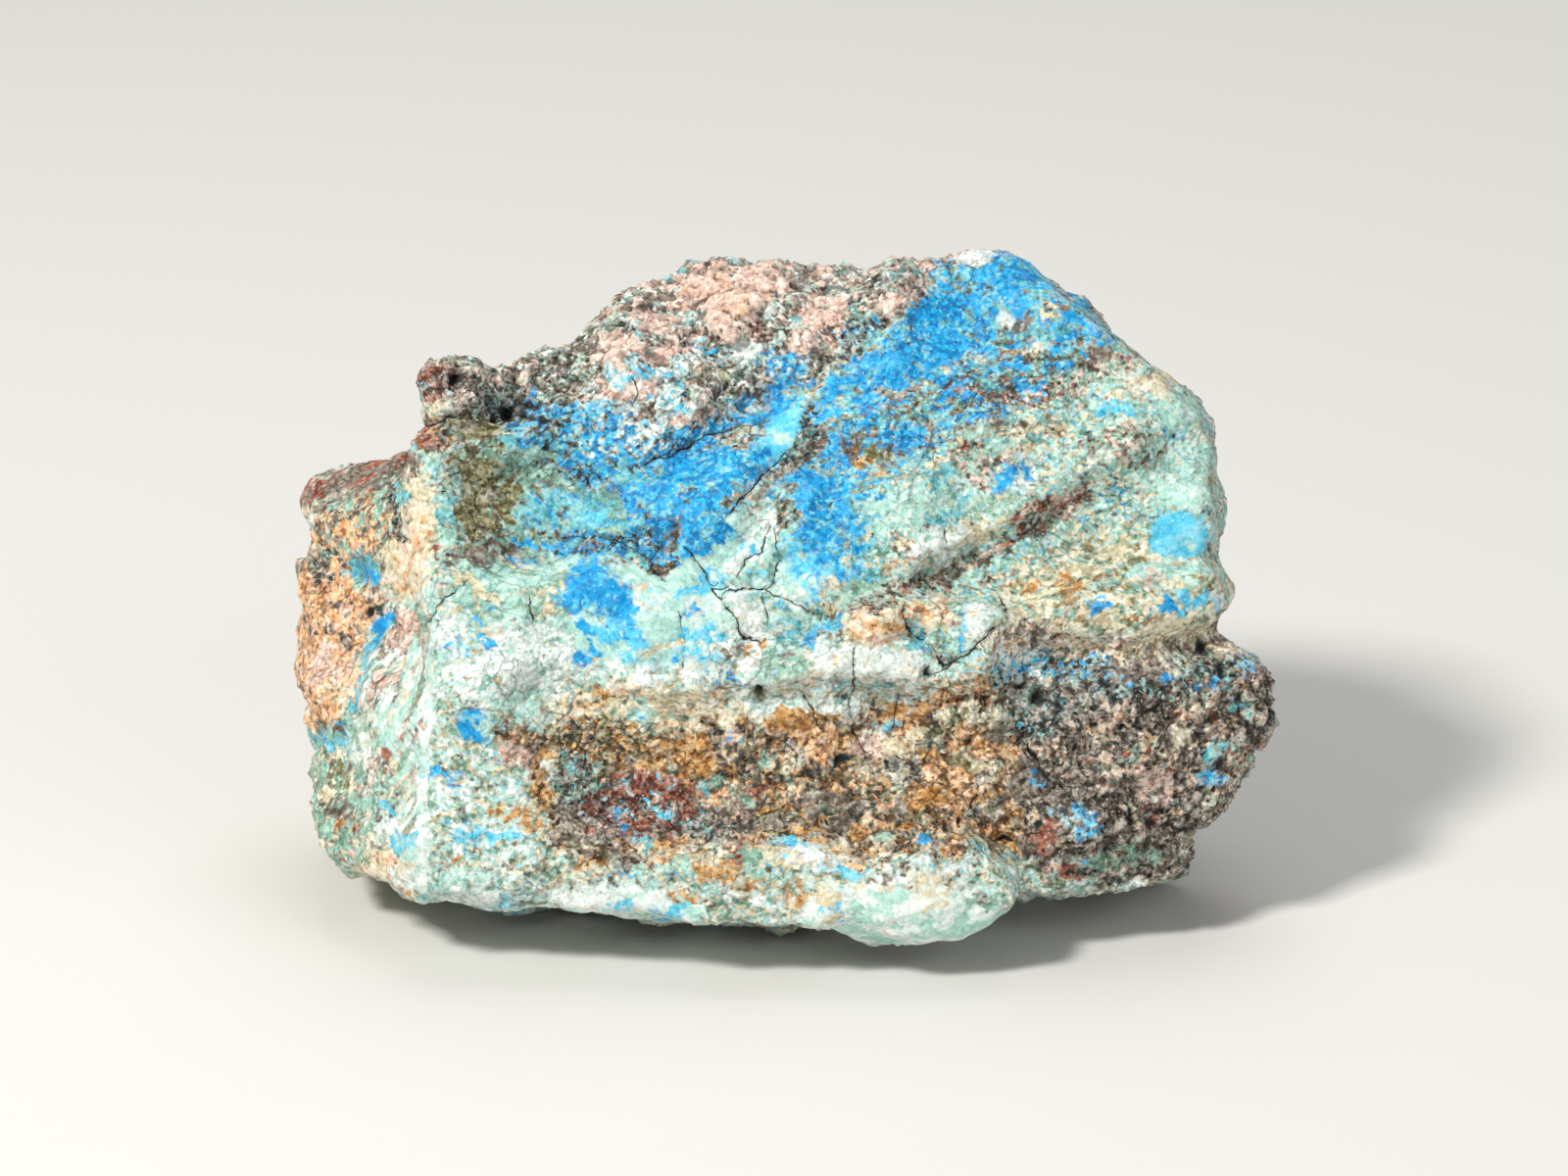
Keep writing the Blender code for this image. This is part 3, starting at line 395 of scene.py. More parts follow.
# Spots, by rock: centre (U, V), half length, half height and, where it is turned, by how many degrees
SPOTS = [
    # the granular cap, the knob and the black pocket
    ("salmon lump", (-6.4, 53.3, 2.4, 1.3, 10), (-1.8, 53.5, 2.3, 1.2, 15), (-4.2, 51.8, 2.6, 1.1, 25),
     (-4.5, 50.1, 0.8, 1.1, 10), (-13, 47.5, 2.2, 1.3, -20)),
    ("pink recess", (-6, 47.2, 1.8, 1)),
    ("frost", (-5.8, 48.2, 2.4, 0.9), (-11.4, 46, 3.6, 1.6, -14)),
    ("chalk", (-2.8, 48.2, 1.8, 1)),
    ("blue frost", (-0.2, 47, 2, 1.5, 10)),
    ("rosy grains", (-28.2, 46.3, 2.4, 2.2)),
    ("rust grains", (-28.6, 45.6, 1.8, 1.6)),
    # painted shadow in the knob's hole
    ("soot", (-26.8, 46.2, 0.9, 0.55, 45)),
    ("cream", (-28.5, 43.5, 1.4, 0.5, 10)),
    ("salmon", (-10.4, 50.3, 1.1, 0.8), (-12, 45.4, 2.4, 1.1, -6)),
    ("grey grains", (5.8, 53.2, 3, 1.6)),
    ("salmon", (3.4, 51.6, 1.8, 1.2), (9.6, 52.4, 1.6, 0.8)),
    ("blue seam", (6.2, 50.2, 2.8, 0.7, 14)),
    ("rust", (5, 51.2, 0.4, 0.4)),
    ("umber", (1.6, 53.8, 1.2, 1), (-10.6, 52.2, 1.4, 0.8, 30), (9.4, 51.8, 1.4, 0.6, 30)),
    ("grey grains", (3.4, 47.5, 1.9, 1.2), (-14, 50.6, 1.6, 1.2, 30)),
    ("turquoise", (6, 49.2, 1.6, 0.6, 10)),
    ("umber", (-16, 48.6, 1.6, 1, 30)),
    # the blue field, the olive clay and the upper right wall
    ("frost", (-8.8, 45, 0.8, 2, 10), (-10.4, 41.8, 1, 1.6, -40), (-14.6, 43.6, 1.4, 0.8)),
    ("blue frost", (-3.6, 44.2, 1.5, 0.7, 10), (-17.2, 42, 3.2, 1.7, -10)),
    ("ochre", (19, 48.3, 1.1, 0.5, 10), (7, 39.6, 1.7, 0.9, 10)),
    # painted shadow over the dark crust of the pocket
    ("dark grains", (-23.4, 43.4, 3, 1.4, -8)),
    ("pink wall", (-3.4, 41.6, 2, 0.8, 20)),
    ("olive", (8, 40.4, 1.6, 0.8, 10)),
    ("clean sky", (32.4, 33.2, 2.6, 1.7, 6)),
    ("celadon bed", (32.6, 36.4, 2.4, 1.2)),
    ("azure", (3.2, 42.9, 0.6, 1.1, 20), (-21.6, 32.6, 1.2, 0.5), (10.4, 41.2, 1.2, 1.2), (24, 51, 0.9, 0.8),
     (18.6, 54.6, 1.2, 0.8), (27, 36.6, 1, 0.5)),
    ("umber", (-4.2, 36.2, 1, 0.7), (0, 35.6, 1.2, 1.6, -20), (5.6, 40.2, 0.8, 1), (12.4, 42.2, 0.9, 0.7),
     (26, 48.2, 1.5, 0.7, -30)),
    ("brown blue", (12.8, 54.6, 1.8, 1, 20), (0, 36.6, 1.4, 1.4, -20)),
    ("white chip", (15.6, 56, 1.7, 0.7, 8), (18, 50.9, 0.55, 0.75)),
    ("blue crust", (0, 45, 2, 0.9, 20), (15.4, 51.6, 1.8, 1.2)),
    ("brown streak", (0.2, 35.2, 1.2, 1.1)),
    ("umber", (19.4, 50.5, 0.9, 0.7)),
    ("celadon", (-3, 35.6, 1.2, 2.2, -20), (0.4, 34.4, 0.4, 1.6), (31.6, 44, 2.4, 1.6, -30), (9.6, 35.6, 3.6, 2, 24),
     (33, 39, 2.2, 2)),
    ("salmon", (-3, 36.6, 0.8, 0.5)),
    # the two at U 12 to 13 are white stone made paler as painted light on the groove's lit upper lip
    ("chalk", (-1.4, 34.4, 0.6, 1.2, 10), (12.2, 32.6, 2.2, 0.8, 24), (12.8, 32.8, 2.4, 1.1, 22)),
    ("cream", (20.6, 48.4, 1.2, 0.5, 10), (30, 45.6, 2, 1, 10), (16.6, 34.2, 2, 0.5, 18)),
    ("dark teal", (-12.6, 38.8, 1.8, 1, -20), (-19, 35.6, 1.8, 0.7, -10)),
    ("sky", (-15.8, 34.8, 1.4, 0.5, -10), (27, 43.6, 1.6, 0.7, 10)),
    ("turquoise", (17.2, 46.8, 1.8, 0.6, 22), (13, 38.4, 2, 0.8, 20)),
    # painted shadow over the dark crust of the pocket
    ("soot", (-21.6, 43.3, 2, 1.3, -20)),
    ("olive brown", (-25.4, 41.9, 2.2, 1.2)),
    ("blue pocket", (-19.2, 42, 2.8, 2)),
    ("azure", (-20.6, 44.6, 0.8, 0.5), (14.4, 48.4, 2.6, 1, 25)),
    ("dark teal", (-18.4, 41, 1.3, 0.6, -10)),
    # painted shadow over the dark crust of the pocket
    ("soot", (-19.8, 42.6, 1.2, 0.6, -20)),
    ("blue pocket", (-16.6, 38.4, 2.4, 1, -20)),
    ("turquoise", (-22.6, 41, 1.4, 0.5, -10)),
    ("celadon", (-20.6, 39.6, 1.4, 0.6, -20)),
    ("blue plate", (18, 38, 1.2, 0.9, 45)),
    # the second is white stone made paler as painted light on the groove's lit upper lip
    ("chalk", (19.9, 38.8, 0.9, 1.5, 15), (12.8, 32.4, 1.4, 0.5, 20)),
    ("blue plate", (19.9, 38.8, 0.45, 0.9, 15)),
    ("turquoise", (14, 35.4, 2.6, 0.8, 24)),
    ("sage", (16.2, 35.6, 1.8, 0.9, 18)),
    # the pale shelf, the bricks and the chalk
    ("ochre", (-2.2, 24.2, 1, 0.6, 20), (8.8, 26, 0.5, 0.9, -10)),
    ("turquoise", (0.4, 25.4, 0.5, 1.2, -30), (6.6, 21, 2.6, 0.3)),
    ("sage", (6.6, 29, 2.2, 1, 20), (0, 22.6, 1.8, 0.9)),
    ("celadon", (-15.4, 27, 1, 0.7, -30)),
    ("chalk", (-22.4, 22.6, 2, 1.2)),
    ("dark teal", (-16, 32, 2, 0.9)),
    ("pale blue bed", (-6.8, 29.2, 2.4, 0.8, 20)),
    ("sky", (-9.4, 23.6, 3.4, 0.7, -4), (-7, 25.2, 2, 0.5), (-3.2, 32, 1.6, 0.7, 30)),
    ("salmon", (7.8, 24.8, 1.2, 0.6)),
    ("azure", (-24.4, 24.8, 0.8, 1.1), (-26.6, 23.9, 1.1, 0.6), (-16, 24, 1.2, 0.8, 20), (-25.2, 27.2, 0.9, 0.3),
     (3.2, 26.2, 1, 0.6, 30)),
    ("soot", (-23.8, 22.7, 0.4, 0.5), (12, 22.2, 0.6, 0.4)),
    ("brown streak", (3.8, 25.3, 1.3, 0.5, 20)),
    ("blue plate", (2.1, 24.9, 0.8, 0.4, 20), (-16, 25.8, 1, 0.7), (14.6, 25.4, 0.45, 1.6, -10)),
    ("umber", (-23, 32, 1.6, 0.6), (-4.6, 23.4, 1.2, 0.35, 14)),
    ("azure", (-21.2, 31, 1.2, 0.5)),
    ("teal clay", (6, 29.8, 1.8, 0.6, 20)),
    ("cream", (-10, 23.9, 2, 0.6, 8), (3.6, 29, 0.9, 0.7)),
    ("umber", (3.6, 27, 1.2, 0.5, 30)),
    ("blue plate", (4, 25.8, 0.8, 0.5, 30)),
    ("teal clay", (3.2, 26, 1.5, 0.8, 20)),
    # the lens-shaped bed, the blue seam and the block
    ("celadon", (31.4, 30.2, 4, 1.2, 4)),
    ("ochre", (23.2, 29.4, 1, 0.7)),
    ("blue frost", (19.8, 23, 1.8, 1, 8), (37.2, 22.6, 1.6, 0.9, -20), (24, 10, 1.6, 1.3, -30), (24.7, 6.8, 0.9, 0.6),
     (34.8, 13.4, 0.9, 0.7)),
    ("rust", (28.6, 22.5, 1.4, 0.45, -20), (27, 22.7, 0.9, 0.4, 20), (21.4, 8.2, 1, 1.4), (22.8, 5.6, 1.4, 0.6, -20),
     (29.8, 10, 1.4, 0.8, 30)),
    ("sage", (28.8, 6.8, 2, 1), (25.8, 6.4, 1.8, 0.8)),
    ("blue plate", (31.3, 22, 0.8, 0.7)),
    ("umber", (35.6, 25.8, 1.4, 1.2), (20, 25.2, 1.4, 0.9), (19.4, 13, 1.6, 1.8)),
    # frost as the stone has, spread and paled as painted light against the shade at the block's upper left corner
    ("frost", (19.4, 22.4, 1.8, 1, 8), (19.2, 23, 2, 0.9, 10)),
    ("sky", (33.4, 27.7, 3.2, 0.8, 6), (22, 10.2, 0.6, 0.5)),
    # the second is painted light against the shade at the block's upper left corner
    ("chalk", (36, 28.2, 1, 0.5, 20), (19, 22.8, 1.4, 0.7)),
    ("blue frost", (19, 22.1, 1.2, 0.4)),
    ("blue seam", (25.4, 22.8, 3, 0.8)),
    ("teal grains", (20.8, 18.8, 2.8, 2.4)),
    # those at V 19 to 20 are painted shadow under the blue seam's ledge
    ("dark grains", (35.4, 22.8, 2.4, 1.2, -10), (22.6, 18.8, 2.2, 1.4), (25.6, 19.6, 2.4, 1.3)),
    ("azure", (30.8, 27.4, 1.2, 0.6), (25.7, 27.3, 0.6, 1.2, -30), (34.6, 21, 1, 0.3), (20.6, 13.2, 0.7, 0.5)),
    # painted shadow under the blue seam's ledge
    ("soot", (25.8, 19.6, 1.3, 0.6), (22.6, 19.6, 0.8, 0.6), (20.8, 19.8, 0.5, 0.4)),
    ("rosy grains", (28.6, 17, 6, 3)),
    ("salmon", (30.4, 29.8, 1.4, 0.8), (30.4, 13, 2.4, 1.4)),
    ("turquoise", (37.4, 19.2, 0.9, 0.6), (35.4, 15.6, 1.6, 0.8, 30)),
    ("cream", (31, 25.2, 2, 0.7, 6), (32, 16.4, 1.6, 1)),
    ("umber", (36, 25.6, 1.6, 0.8, 6), (29, 22.8, 2, 0.8), (29, 22.6, 2, 0.8)),
    ("cream", (32, 25.8, 2.6, 0.9)),
    # the brown band and the pale foot
    ("turquoise", (-6.8, 12.6, 1, 0.4, -50), (-11.6, 8.4, 1.3, 0.6, -30), (16, 7.6, 1, 0.5, -20)),
    ("sage", (-3.2, 6.8, 1.8, 0.8), (16.6, 3.2, 2, 0.9)),
    ("rust", (-21.8, 17.2, 0.5, 0.5), (-2.6, 12.2, 1.2, 0.5), (-4, 7, 1.2, 0.45, 36)),
    ("grey shelf", (-12, 18.9, 2, 1.1, -10)),
    ("rust grains", (-9.4, 9.6, 2, 1)),
    ("block grains", (-12.8, 6.8, 2, 0.9)),
    ("olive", (14.4, 14.4, 1, 0.8)),
    ("celadon", (-21.6, 19.6, 2.4, 0.9, 4)),
    ("blue plate", (-25.3, 17.5, 1.6, 1.5, 30)),
    ("celadon bed", (-24.5, 17.7, 1, 0.8)),
    # painted light on the foot's downward-facing underside, over pale stone
    ("white chip", (-15.8, 3.6, 3, 0.9, 6)),
    ("blond grains", (6.4, 6.8, 2.2, 0.8)),
    ("ochre", (-8, 16.4, 1.8, 1), (1, 18.2, 2.2, 1, -12), (10, 19, 2.3, 1, 10), (-6.4, 14.6, 1, 0.8, 20),
     (0.9, 18.2, 1.5, 0.7), (12, 12.4, 1.5, 0.9), (-14.6, 20, 1.2, 0.7), (-22.4, 10.9, 1.8, 0.6, 14),
     (-21, 10, 0.7, 0.7), (-26.5, 6.7, 1, 0.45, 6), (-6.4, 5.6, 1.4, 0.6, 20), (-3.4, 5.4, 2, 0.7, -24),
     (0.8, 3.8, 1, 0.9)),
    ("sky", (-10.2, 12.9, 1.5, 0.4, -42), (8.8, 17.8, 1.3, 0.35, 6), (-25.6, 8.8, 2, 0.7, -10), (-22, 8.6, 1, 0.6),
     (-24, 3.4, 2.4, 0.7), (-13, 3, 2.4, 0.5, 6), (-9.6, 2.4, 1.6, 0.4, 10), (8.6, 0.4, 1.4, 0.3)),
    ("umber", (-21.2, 15.6, 1.4, 0.9), (-17.6, 8.8, 1.8, 1.3), (3, 11.6, 2.6, 1.2), (-4.6, 11, 1.4, 0.8),
     (16.4, 17.6, 1, 0.8), (15.6, 4, 1.6, 0.6, -30)),
    ("salmon", (-22, 15.4, 1.6, 1.2), (7, 16, 2.2, 1)),
    ("azure", (-13.6, 10, 0.8, 0.5), (-11.8, 18.6, 1, 0.45, -10), (-4.2, 16.8, 0.4, 0.35), (-23.8, 15.6, 0.6, 0.5, -40),
     (11.8, 8.4, 0.9, 0.6, 10)),
    ("cream", (-9, 19.4, 2, 0.8), (9.8, 16.4, 2, 1)),
    ("olive grains", (0, 9.7, 2.4, 1.6)),
    ("umber", (-0.4, 9.6, 1.6, 0.6)),
    ("ochre", (1.6, 8.6, 2, 0.6), (-8, 3.6, 1.2, 0.5, 20)),
    ("dark grains", (-6.4, 9.6, 2, 1.2)),
    ("brown grains", (-16, 7, 2, 1)),
    ("sky", (4, 14.6, 0.4, 0.7), (1.2, 7.8, 2, 0.5, -8)),
    ("chalk", (-19.4, 14, 0.8, 0.6), (2.6, 6.8, 2, 0.8, -10)),
    ("soot", (5, 14.8, 0.6, 0.5)),
    ("peach", (3.4, 16.2, 2, 1.4)),
    ("sky", (5, 6, 2, 0.5)),
    # the left end
    ("azure", (-28, 13.9, 1.6, 0.45, -10)),
    ("olive", (-36.6, 13.6, 1.4, 0.8)),
    ("brown grains", (-28.9, 41.4, 1.6, 1.6)),
    ("soot", (-33.9, 27, 0.7, 0.6), (-37.3, 28.2, 0.45, 0.5), (-36.9, 25.6, 0.4, 0.6, 20), (-36, 24.8, 0.5, 0.4),
     (-37.6, 29.8, 0.5, 0.4), (-38.8, 26.2, 0.4, 0.5), (-35.6, 28.4, 0.25, 0.3)),
    ("turquoise", (-27.6, 3.4, 2, 0.7), (-31.2, 36.6, 0.8, 0.8)),
    ("celadon", (-26.6, 5, 2.6, 0.8)),
    ("chalk", (-25.6, 3.6, 3, 0.8), (-33, 9.4, 1.6, 1), (-34.6, 15.8, 1.6, 1)),
    ("teal clay", (-34.6, 30.7, 1.5, 1.3), (-37.6, 16.8, 1.5, 0.6)),
    ("umber", (-34.6, 31.2, 0.7, 0.5), (-37.2, 17.8, 0.9, 0.4), (-36.6, 10.8, 1.2, 0.8)),
    ("rust", (-28.6, 32.6, 0.3, 1.2, 8), (-34.9, 9.7, 0.5, 0.9, 16), (-29, 41.2, 0.8, 1)),
    ("salmon", (-37.6, 22.4, 1.6, 1.8, 10), (-31.2, 25.2, 1, 1.6, -24), (-35.2, 7.8, 0.6, 0.8, 30)),
    ("turquoise", (-27.7, 35.2, 0.7, 1.2), (-30.2, 40.2, 0.5, 0.7)),
    ("cream", (-39.2, 35.4, 0.9, 0.7), (-36.8, 20.4, 1, 1.2), (-29.4, 36.4, 0.7, 1.8, 8)),
    ("blue plate", (-33.4, 29.8, 0.6, 0.5, 30)),
    ("cream block", (-32.4, 5.8, 2.4, 1.4, -20)),
    ("sky", (-36, 16.2, 1.4, 0.5), (-32.7, 11.2, 1, 0.5), (-31.3, 8.2, 1.3, 0.6)),
    ("chalk", (-38.6, 34.2, 0.7, 0.6), (-31, 5, 1.4, 1, -10)),
    ("peach", (-38.9, 34.8, 0.5, 0.4), (-34.6, 32.8, 1.2, 0.8), (-36.2, 33.6, 1, 0.7)),
    ("ochre", (-36.2, 9.6, 0.7, 0.5), (-30.8, 3.6, 0.8, 0.6)),
    ("soot", (-36, 32.6, 0.3, 0.3)),
    ("brown streak", (-37.8, 31, 0.7, 1.8, -16)),
]

# Cracks: half width, depth, points (U, V)
CRACK_SLOPE = 0.28  # how far from a crack's middle the rock slopes into it
CRACK_WANDER = 0.35  # as a share of how far marks' edges wander
FAR_ACROSS = 9.0  # in half widths: past this, one crack is as good as none
CRACKS = [
    # the first is painted shadow under the granular cap's overhanging lower edge
    (0.07, 0.36, (-11.3, 39), (-9.6, 39.6), (-7.8, 40.4), (-6.8, 41.2), (-4.6, 42), (-1.7, 42.6)),
    (0.07, 0.36, (-5.9, 28.9), (-4.9, 27.7), (-4.1, 26.5), (-3.5, 25), (-2.2, 24.6)),
    (0.07, 0.3, (-1.4, 34.2), (-1.9, 32.1), (-3.1, 31.3), (-4.1, 29.3), (-5.9, 28.9)),
    (0.06, 0.3, (-4.9, 28.6), (-3.1, 29.1), (-1.6, 29.1)),
    (0.06, 0.3, (-0.9, 33.9), (-0.4, 30.9), (-1.5, 29), (0.9, 27.8), (2.8, 26.8)),
    (0.06, 0.24, (-1.9, 28.3), (-1.3, 26.1)),
    (0.06, 0.24, (-8, 32), (-6.4, 30.4), (-5.9, 28.9)),
    (0.06, 0.24, (-18.2, 33.4), (-14, 33), (-11.6, 31.6), (-10.4, 30.4), (-9.6, 29.8)),
    (0.07, 0.3, (-4.4, 34.9), (-3.2, 36.2), (-1.8, 38), (0, 40)),
    (0.06, 0.24, (1.6, 20.2), (2.3, 19), (3, 17.4)),
    (0.06, 0.24, (17.6, 28.3), (18.2, 27)),
    (0.07, 0.3, (12.5, 21.9), (14, 23), (15.9, 24.2), (17.8, 26)),
    (0.07, 0.42, (19.9, 16.2), (20.6, 14.4), (21.2, 13.1)),
    (0.06, 0.3, (15.7, 12.1), (15.5, 10.8), (16, 9.7)),
    (0.08, 0.36, (17.2, 8.8), (18.3, 8.3)),
    (0.07, 0.36, (25.8, 9.3), (26.3, 8.4), (27, 7.5)),
    # this crack is the knob's undercut, dark with painted shadow
    (0.06, 0.3, (-30.6, 42.1), (-28.6, 42.3), (-26.6, 43)),
    (0.06, 0.24, (13.2, 33.8), (13.3, 31.9)),
    (0.06, 0.24, (-20.6, 26.4), (-20.7, 28)),
    (0.06, 0.3, (-29, 26.2), (-28, 27.8), (-25.8, 29.6)),
    (0.06, 0.3, (5.7, 24), (5.8, 22.4), (5.9, 20.6)),
    (0.06, 0.3, (9.8, 27.8), (9.9, 26.4), (10, 25)),
    (0.05, 0.18, (-8.4, 26.8), (-8.2, 24.6), (-8.3, 22.4)),
    (0.06, 0.24, (-12.4, 46.2), (-11.8, 44.8), (-12.4, 43.6)),
    (0.06, 0.24, (5.6, 20), (5.8, 17.4), (6.6, 15.6)),
    (0.06, 0.24, (9.2, 20.2), (9, 17.8)),
    (0.06, 0.24, (13, 22.6), (12.2, 24.4), (10.2, 25.2), (9.7, 26.8)),
    (0.06, 0.24, (28.8, 20.4), (29.6, 18.6), (31, 17.6)),
]

# Pits: centre (U, V), radius, depth
# how dark the pits are, as painted shade
PIT_SHADE = 0.8
PITS = [
    (-2.2, 20.5, 0.6, 0.8), (11.8, 22.1, 0.6, 0.7), (20.8, 19.9, 0.7, 0.8), (19.5, 21, 0.4, 0.5),
    (-26.8, 46.2, 0.7, 1.2), (-22.6, 43.4, 0.5, 0.8), (-21.4, 43.1, 0.4, 0.7), (-23.6, 42.9, 0.35, 0.5),
    (5.2, 20.1, 0.4, 0.5), (-20.6, 43.9, 0.3, 0.5), (4.6, 14.8, 0.6, 0.5), (30, 9.8, 0.6, 0.6),
    (-33.9, 27, 0.6, 0.4), (34, 24.2, 0.6, 0.5), (8.2, 51.2, 0.4, 0.6),
]

# The striped wall at the left end: its shell-like ripples are arcs round one centre, and its stripes of minerals
# follow them. It fades in leftwards (-U) from WALL_START and downwards (-V) from WALL_TOP.
RIPPLE_CENTRE = (-50.0, 27.0)
RIPPLE_SPACING, RIPPLE_HEIGHT = 1.3, 0.05
STRIPE_SIZE, STRIPE_STRETCH = 0.6, 8
WALL_START, WALL_TOP = (27.6, 29), (-32, -30)


def linear(colour):
    """An sRGB hex colour as linear RGBA."""
    channels = [int(colour[i : i + 2], 16) / 255 for i in (1, 3, 5)]
    return tuple(c / 12.92 if c <= 0.04045 else ((c + 0.055) / 1.055) ** 2.4 for c in channels) + (1.0,)


def smooth(values, low, high):
    """0 below low, 1 above high, and a smooth rise between them."""
    share = np.clip((values - low) / (high - low), 0, 1)
    return share * share * (3 - 2 * share)


def noise_at(points, size, octaves=1, fineness=0.9):
    """Noise from about -1 to 1, with lumps of this size. A lower fineness gives the fine lumps more weight."""
    return np.array([noise.fractal(p, fineness, 2.1, octaves) for p in (points / size).tolist()])


def grains_at(points, size):
    """Broken grains of this size.

    Gives how far each point stands out, from about -1 to 1, each grain's own number, and the width of the gap to
    the next grain as a share of the size.
    """
    points = points / size
    found = [noise.voronoi(p) for p in points.tolist()]
    gap = np.array([distances[1] - distances[0] for distances, _ in found])
    middles = np.array([centres[0] for _, centres in found])
    own = np.modf(np.abs(np.sin(middles @ (12.99, 78.23, 37.72)) * 4375.85))[0]  # any large, uneven factors do
    lean = np.sin(middles * 57.3 + middles[:, [1, 2, 0]] * 31.9)  # each grain's broken top leans its own way
    gap_depth, gap_width = 0.8, 0.22
    height = own - 0.5 + np.sum(lean * (points - middles), axis=1) - gap_depth * (1 - smooth(gap, 0.0, gap_width))
    return height, own, gap


def flat(vectors):
    """Vectors in the face, (U, V), with a W of 0."""
    return np.pad(vectors, ((0, 0), (0, 1)))


def along_and_across(points, degrees):
    """Distances along a direction in the face, turned from U towards V, and across it."""
    angle = math.radians(degrees)
    along = points[:, 0] * math.cos(angle) + points[:, 1] * math.sin(angle)
    across = points[:, 1] * math.cos(angle) - points[:, 0] * math.sin(angle)
    return along, across


# The stone's fine mesh


def points_of(mesh, attribute="position"):
    """The places or the normals of the mesh's points."""
    found = np.empty(len(mesh.vertices) * 3, np.float32)
    if attribute == "normal":
        mesh.vertex_normals.foreach_get("vector", found)
    else:
        mesh.vertices.foreach_get("co", found)
    return found.reshape(-1, 3).astype(float)


def add_modifier(stone, kind, **settings):
    """Adds a modifier and applies it."""
    modifier = stone.modifiers.new(kind.lower(), kind)
    for name, value in settings.items():
        setattr(modifier, name, value)
    bpy.ops.object.modifier_apply(modifier=modifier.name)


def fine_copy(node):
    """A copy of the node with an even, fine surface, most of its points in front."""
    bpy.ops.object.select_all(action="DESELECT")
    stone = bpy.data.objects.new("stone", node.data.copy())
    bpy.context.scene.collection.objects.link(stone)
    stone.select_set(True)
    bpy.context.view_layer.objects.active = stone
    bpy.ops.object.mode_set(mode="EDIT")
    bpy.ops.mesh.select_all(action="SELECT")
    bpy.ops.mesh.remove_doubles(threshold=1e-6)
    bpy.ops.object.mode_set(mode="OBJECT")
    add_modifier(stone, "REMESH", mode="VOXEL", voxel_size=POINT_SPACING * MM)
    add_modifier(stone, "SMOOTH", **SMOOTHING)
    thinned = stone.vertex_groups.new(name="thinned")
    towards_eye = points_of(stone.data, "normal") @ FACE_AXES[2]
    for i, weight in enumerate(np.clip(THINNED_SIDE - THINNED_STEP * towards_eye, *THINNED_RANGE).tolist()):
        thinned.add([i], weight, "REPLACE")
    triangles = sum(len(face.vertices) - 2 for face in stone.data.polygons)
    add_modifier(
        stone, "DECIMATE", ratio=MOST_TRIANGLES / triangles, vertex_group="thinned", vertex_group_factor=1.0,
        use_collapse_triangulate=True,
    )
    stone.vertex_groups.clear()
    return stone


class Surface:
    """The stone's points as the marks see them: world and face are places in millimetres, seen the (U, V) at which
    the eye sees them, and front is 1 where the eye sees the stone and 0 where it doesn't."""

    def __init__(self, mesh):
        self.world = points_of(mesh) / MM
        self.normals = points_of(mesh, "normal")
        self.face = (self.world - FACE_ORIGIN) @ FACE_AXES.T
        nearer = EYE_DISTANCE / (EYE_DISTANCE - self.face[:, 2])
        self.seen = EYE_POINT + (self.face[:, :2] - EYE_POINT) * nearer[:, None]
        eye = np.array((*EYE_POINT, EYE_DISTANCE)) - self.face
        eye /= np.linalg.norm(eye, axis=1)[:, None]
        self.front = smooth(np.sum((self.normals @ FACE_AXES.T) * eye, axis=1), *FRONT_EDGE)
        crinkle = [noise_at(self.face + shift, CRINKLE[0], 3, 0.5) for shift in (0.0, APART)]
        wander = [noise_at(self.face + shift, WANDER[0], 2) for shift in (0.0, APART)]
        self.crinkle = np.stack(crinkle, axis=1)
        self.wander = CRINKLE[1] * self.crinkle + WANDER[1] * np.stack(wander, axis=1)

    def ragged(self, rock_name):
        """Where the points are seen, moved about so that the rock's marks get torn edges."""
        return self.seen + ROCKS[rock_name].torn * self.wander


def distance_to_path(points, path):
    """Distance to the path, and the side of it that each point lies on, 1 or -1."""
    nearest, side = np.full(len(points), np.inf), np.ones(len(points))
    for start, end in zip(path, path[1:]):
        start, step = np.array(start), np.array(end) - np.array(start)
        away = points - start
        share = np.clip(away @ step / (step @ step), 0, 1)
        distance = np.linalg.norm(away - share[:, None] * step, axis=1)
        turn = np.where(away[:, 0] * step[1] > away[:, 1] * step[0], 1, -1)
        side = np.where(distance < nearest, turn, side)
        nearest = np.minimum(nearest, distance)
    return nearest, side


def inside_field(points, corners):
    """Distance inside the field's border, negative outside it."""
    inside = np.zeros(len(points), bool)
    for (u0, v0), (u1, v1) in zip(corners, corners[1:] + corners[:1]):
        if v0 == v1:
            continue
        crosses = (v0 > points[:, 1]) != (v1 > points[:, 1])
        inside ^= crosses & (points[:, 0] < (u1 - u0) * (points[:, 1] - v0) / (v1 - v0) + u0)
    return np.where(inside, 1, -1) * distance_to_path(points, corners + corners[:1])[0]


def inside_spot(points, u, v, half_length, half_height, turn=0):
    """About the distance inside the oval's border, negative outside it."""
    along, across = along_and_across(points - (u, v), turn)
    return (1 - np.hypot(along / half_length, across / half_height)) * min(half_length, half_height)


def ripple_radius(points):
    """Distance from the centre of the ripples, in the face."""
    return np.hypot(*(points[:, :2] - RIPPLE_CENTRE).T)


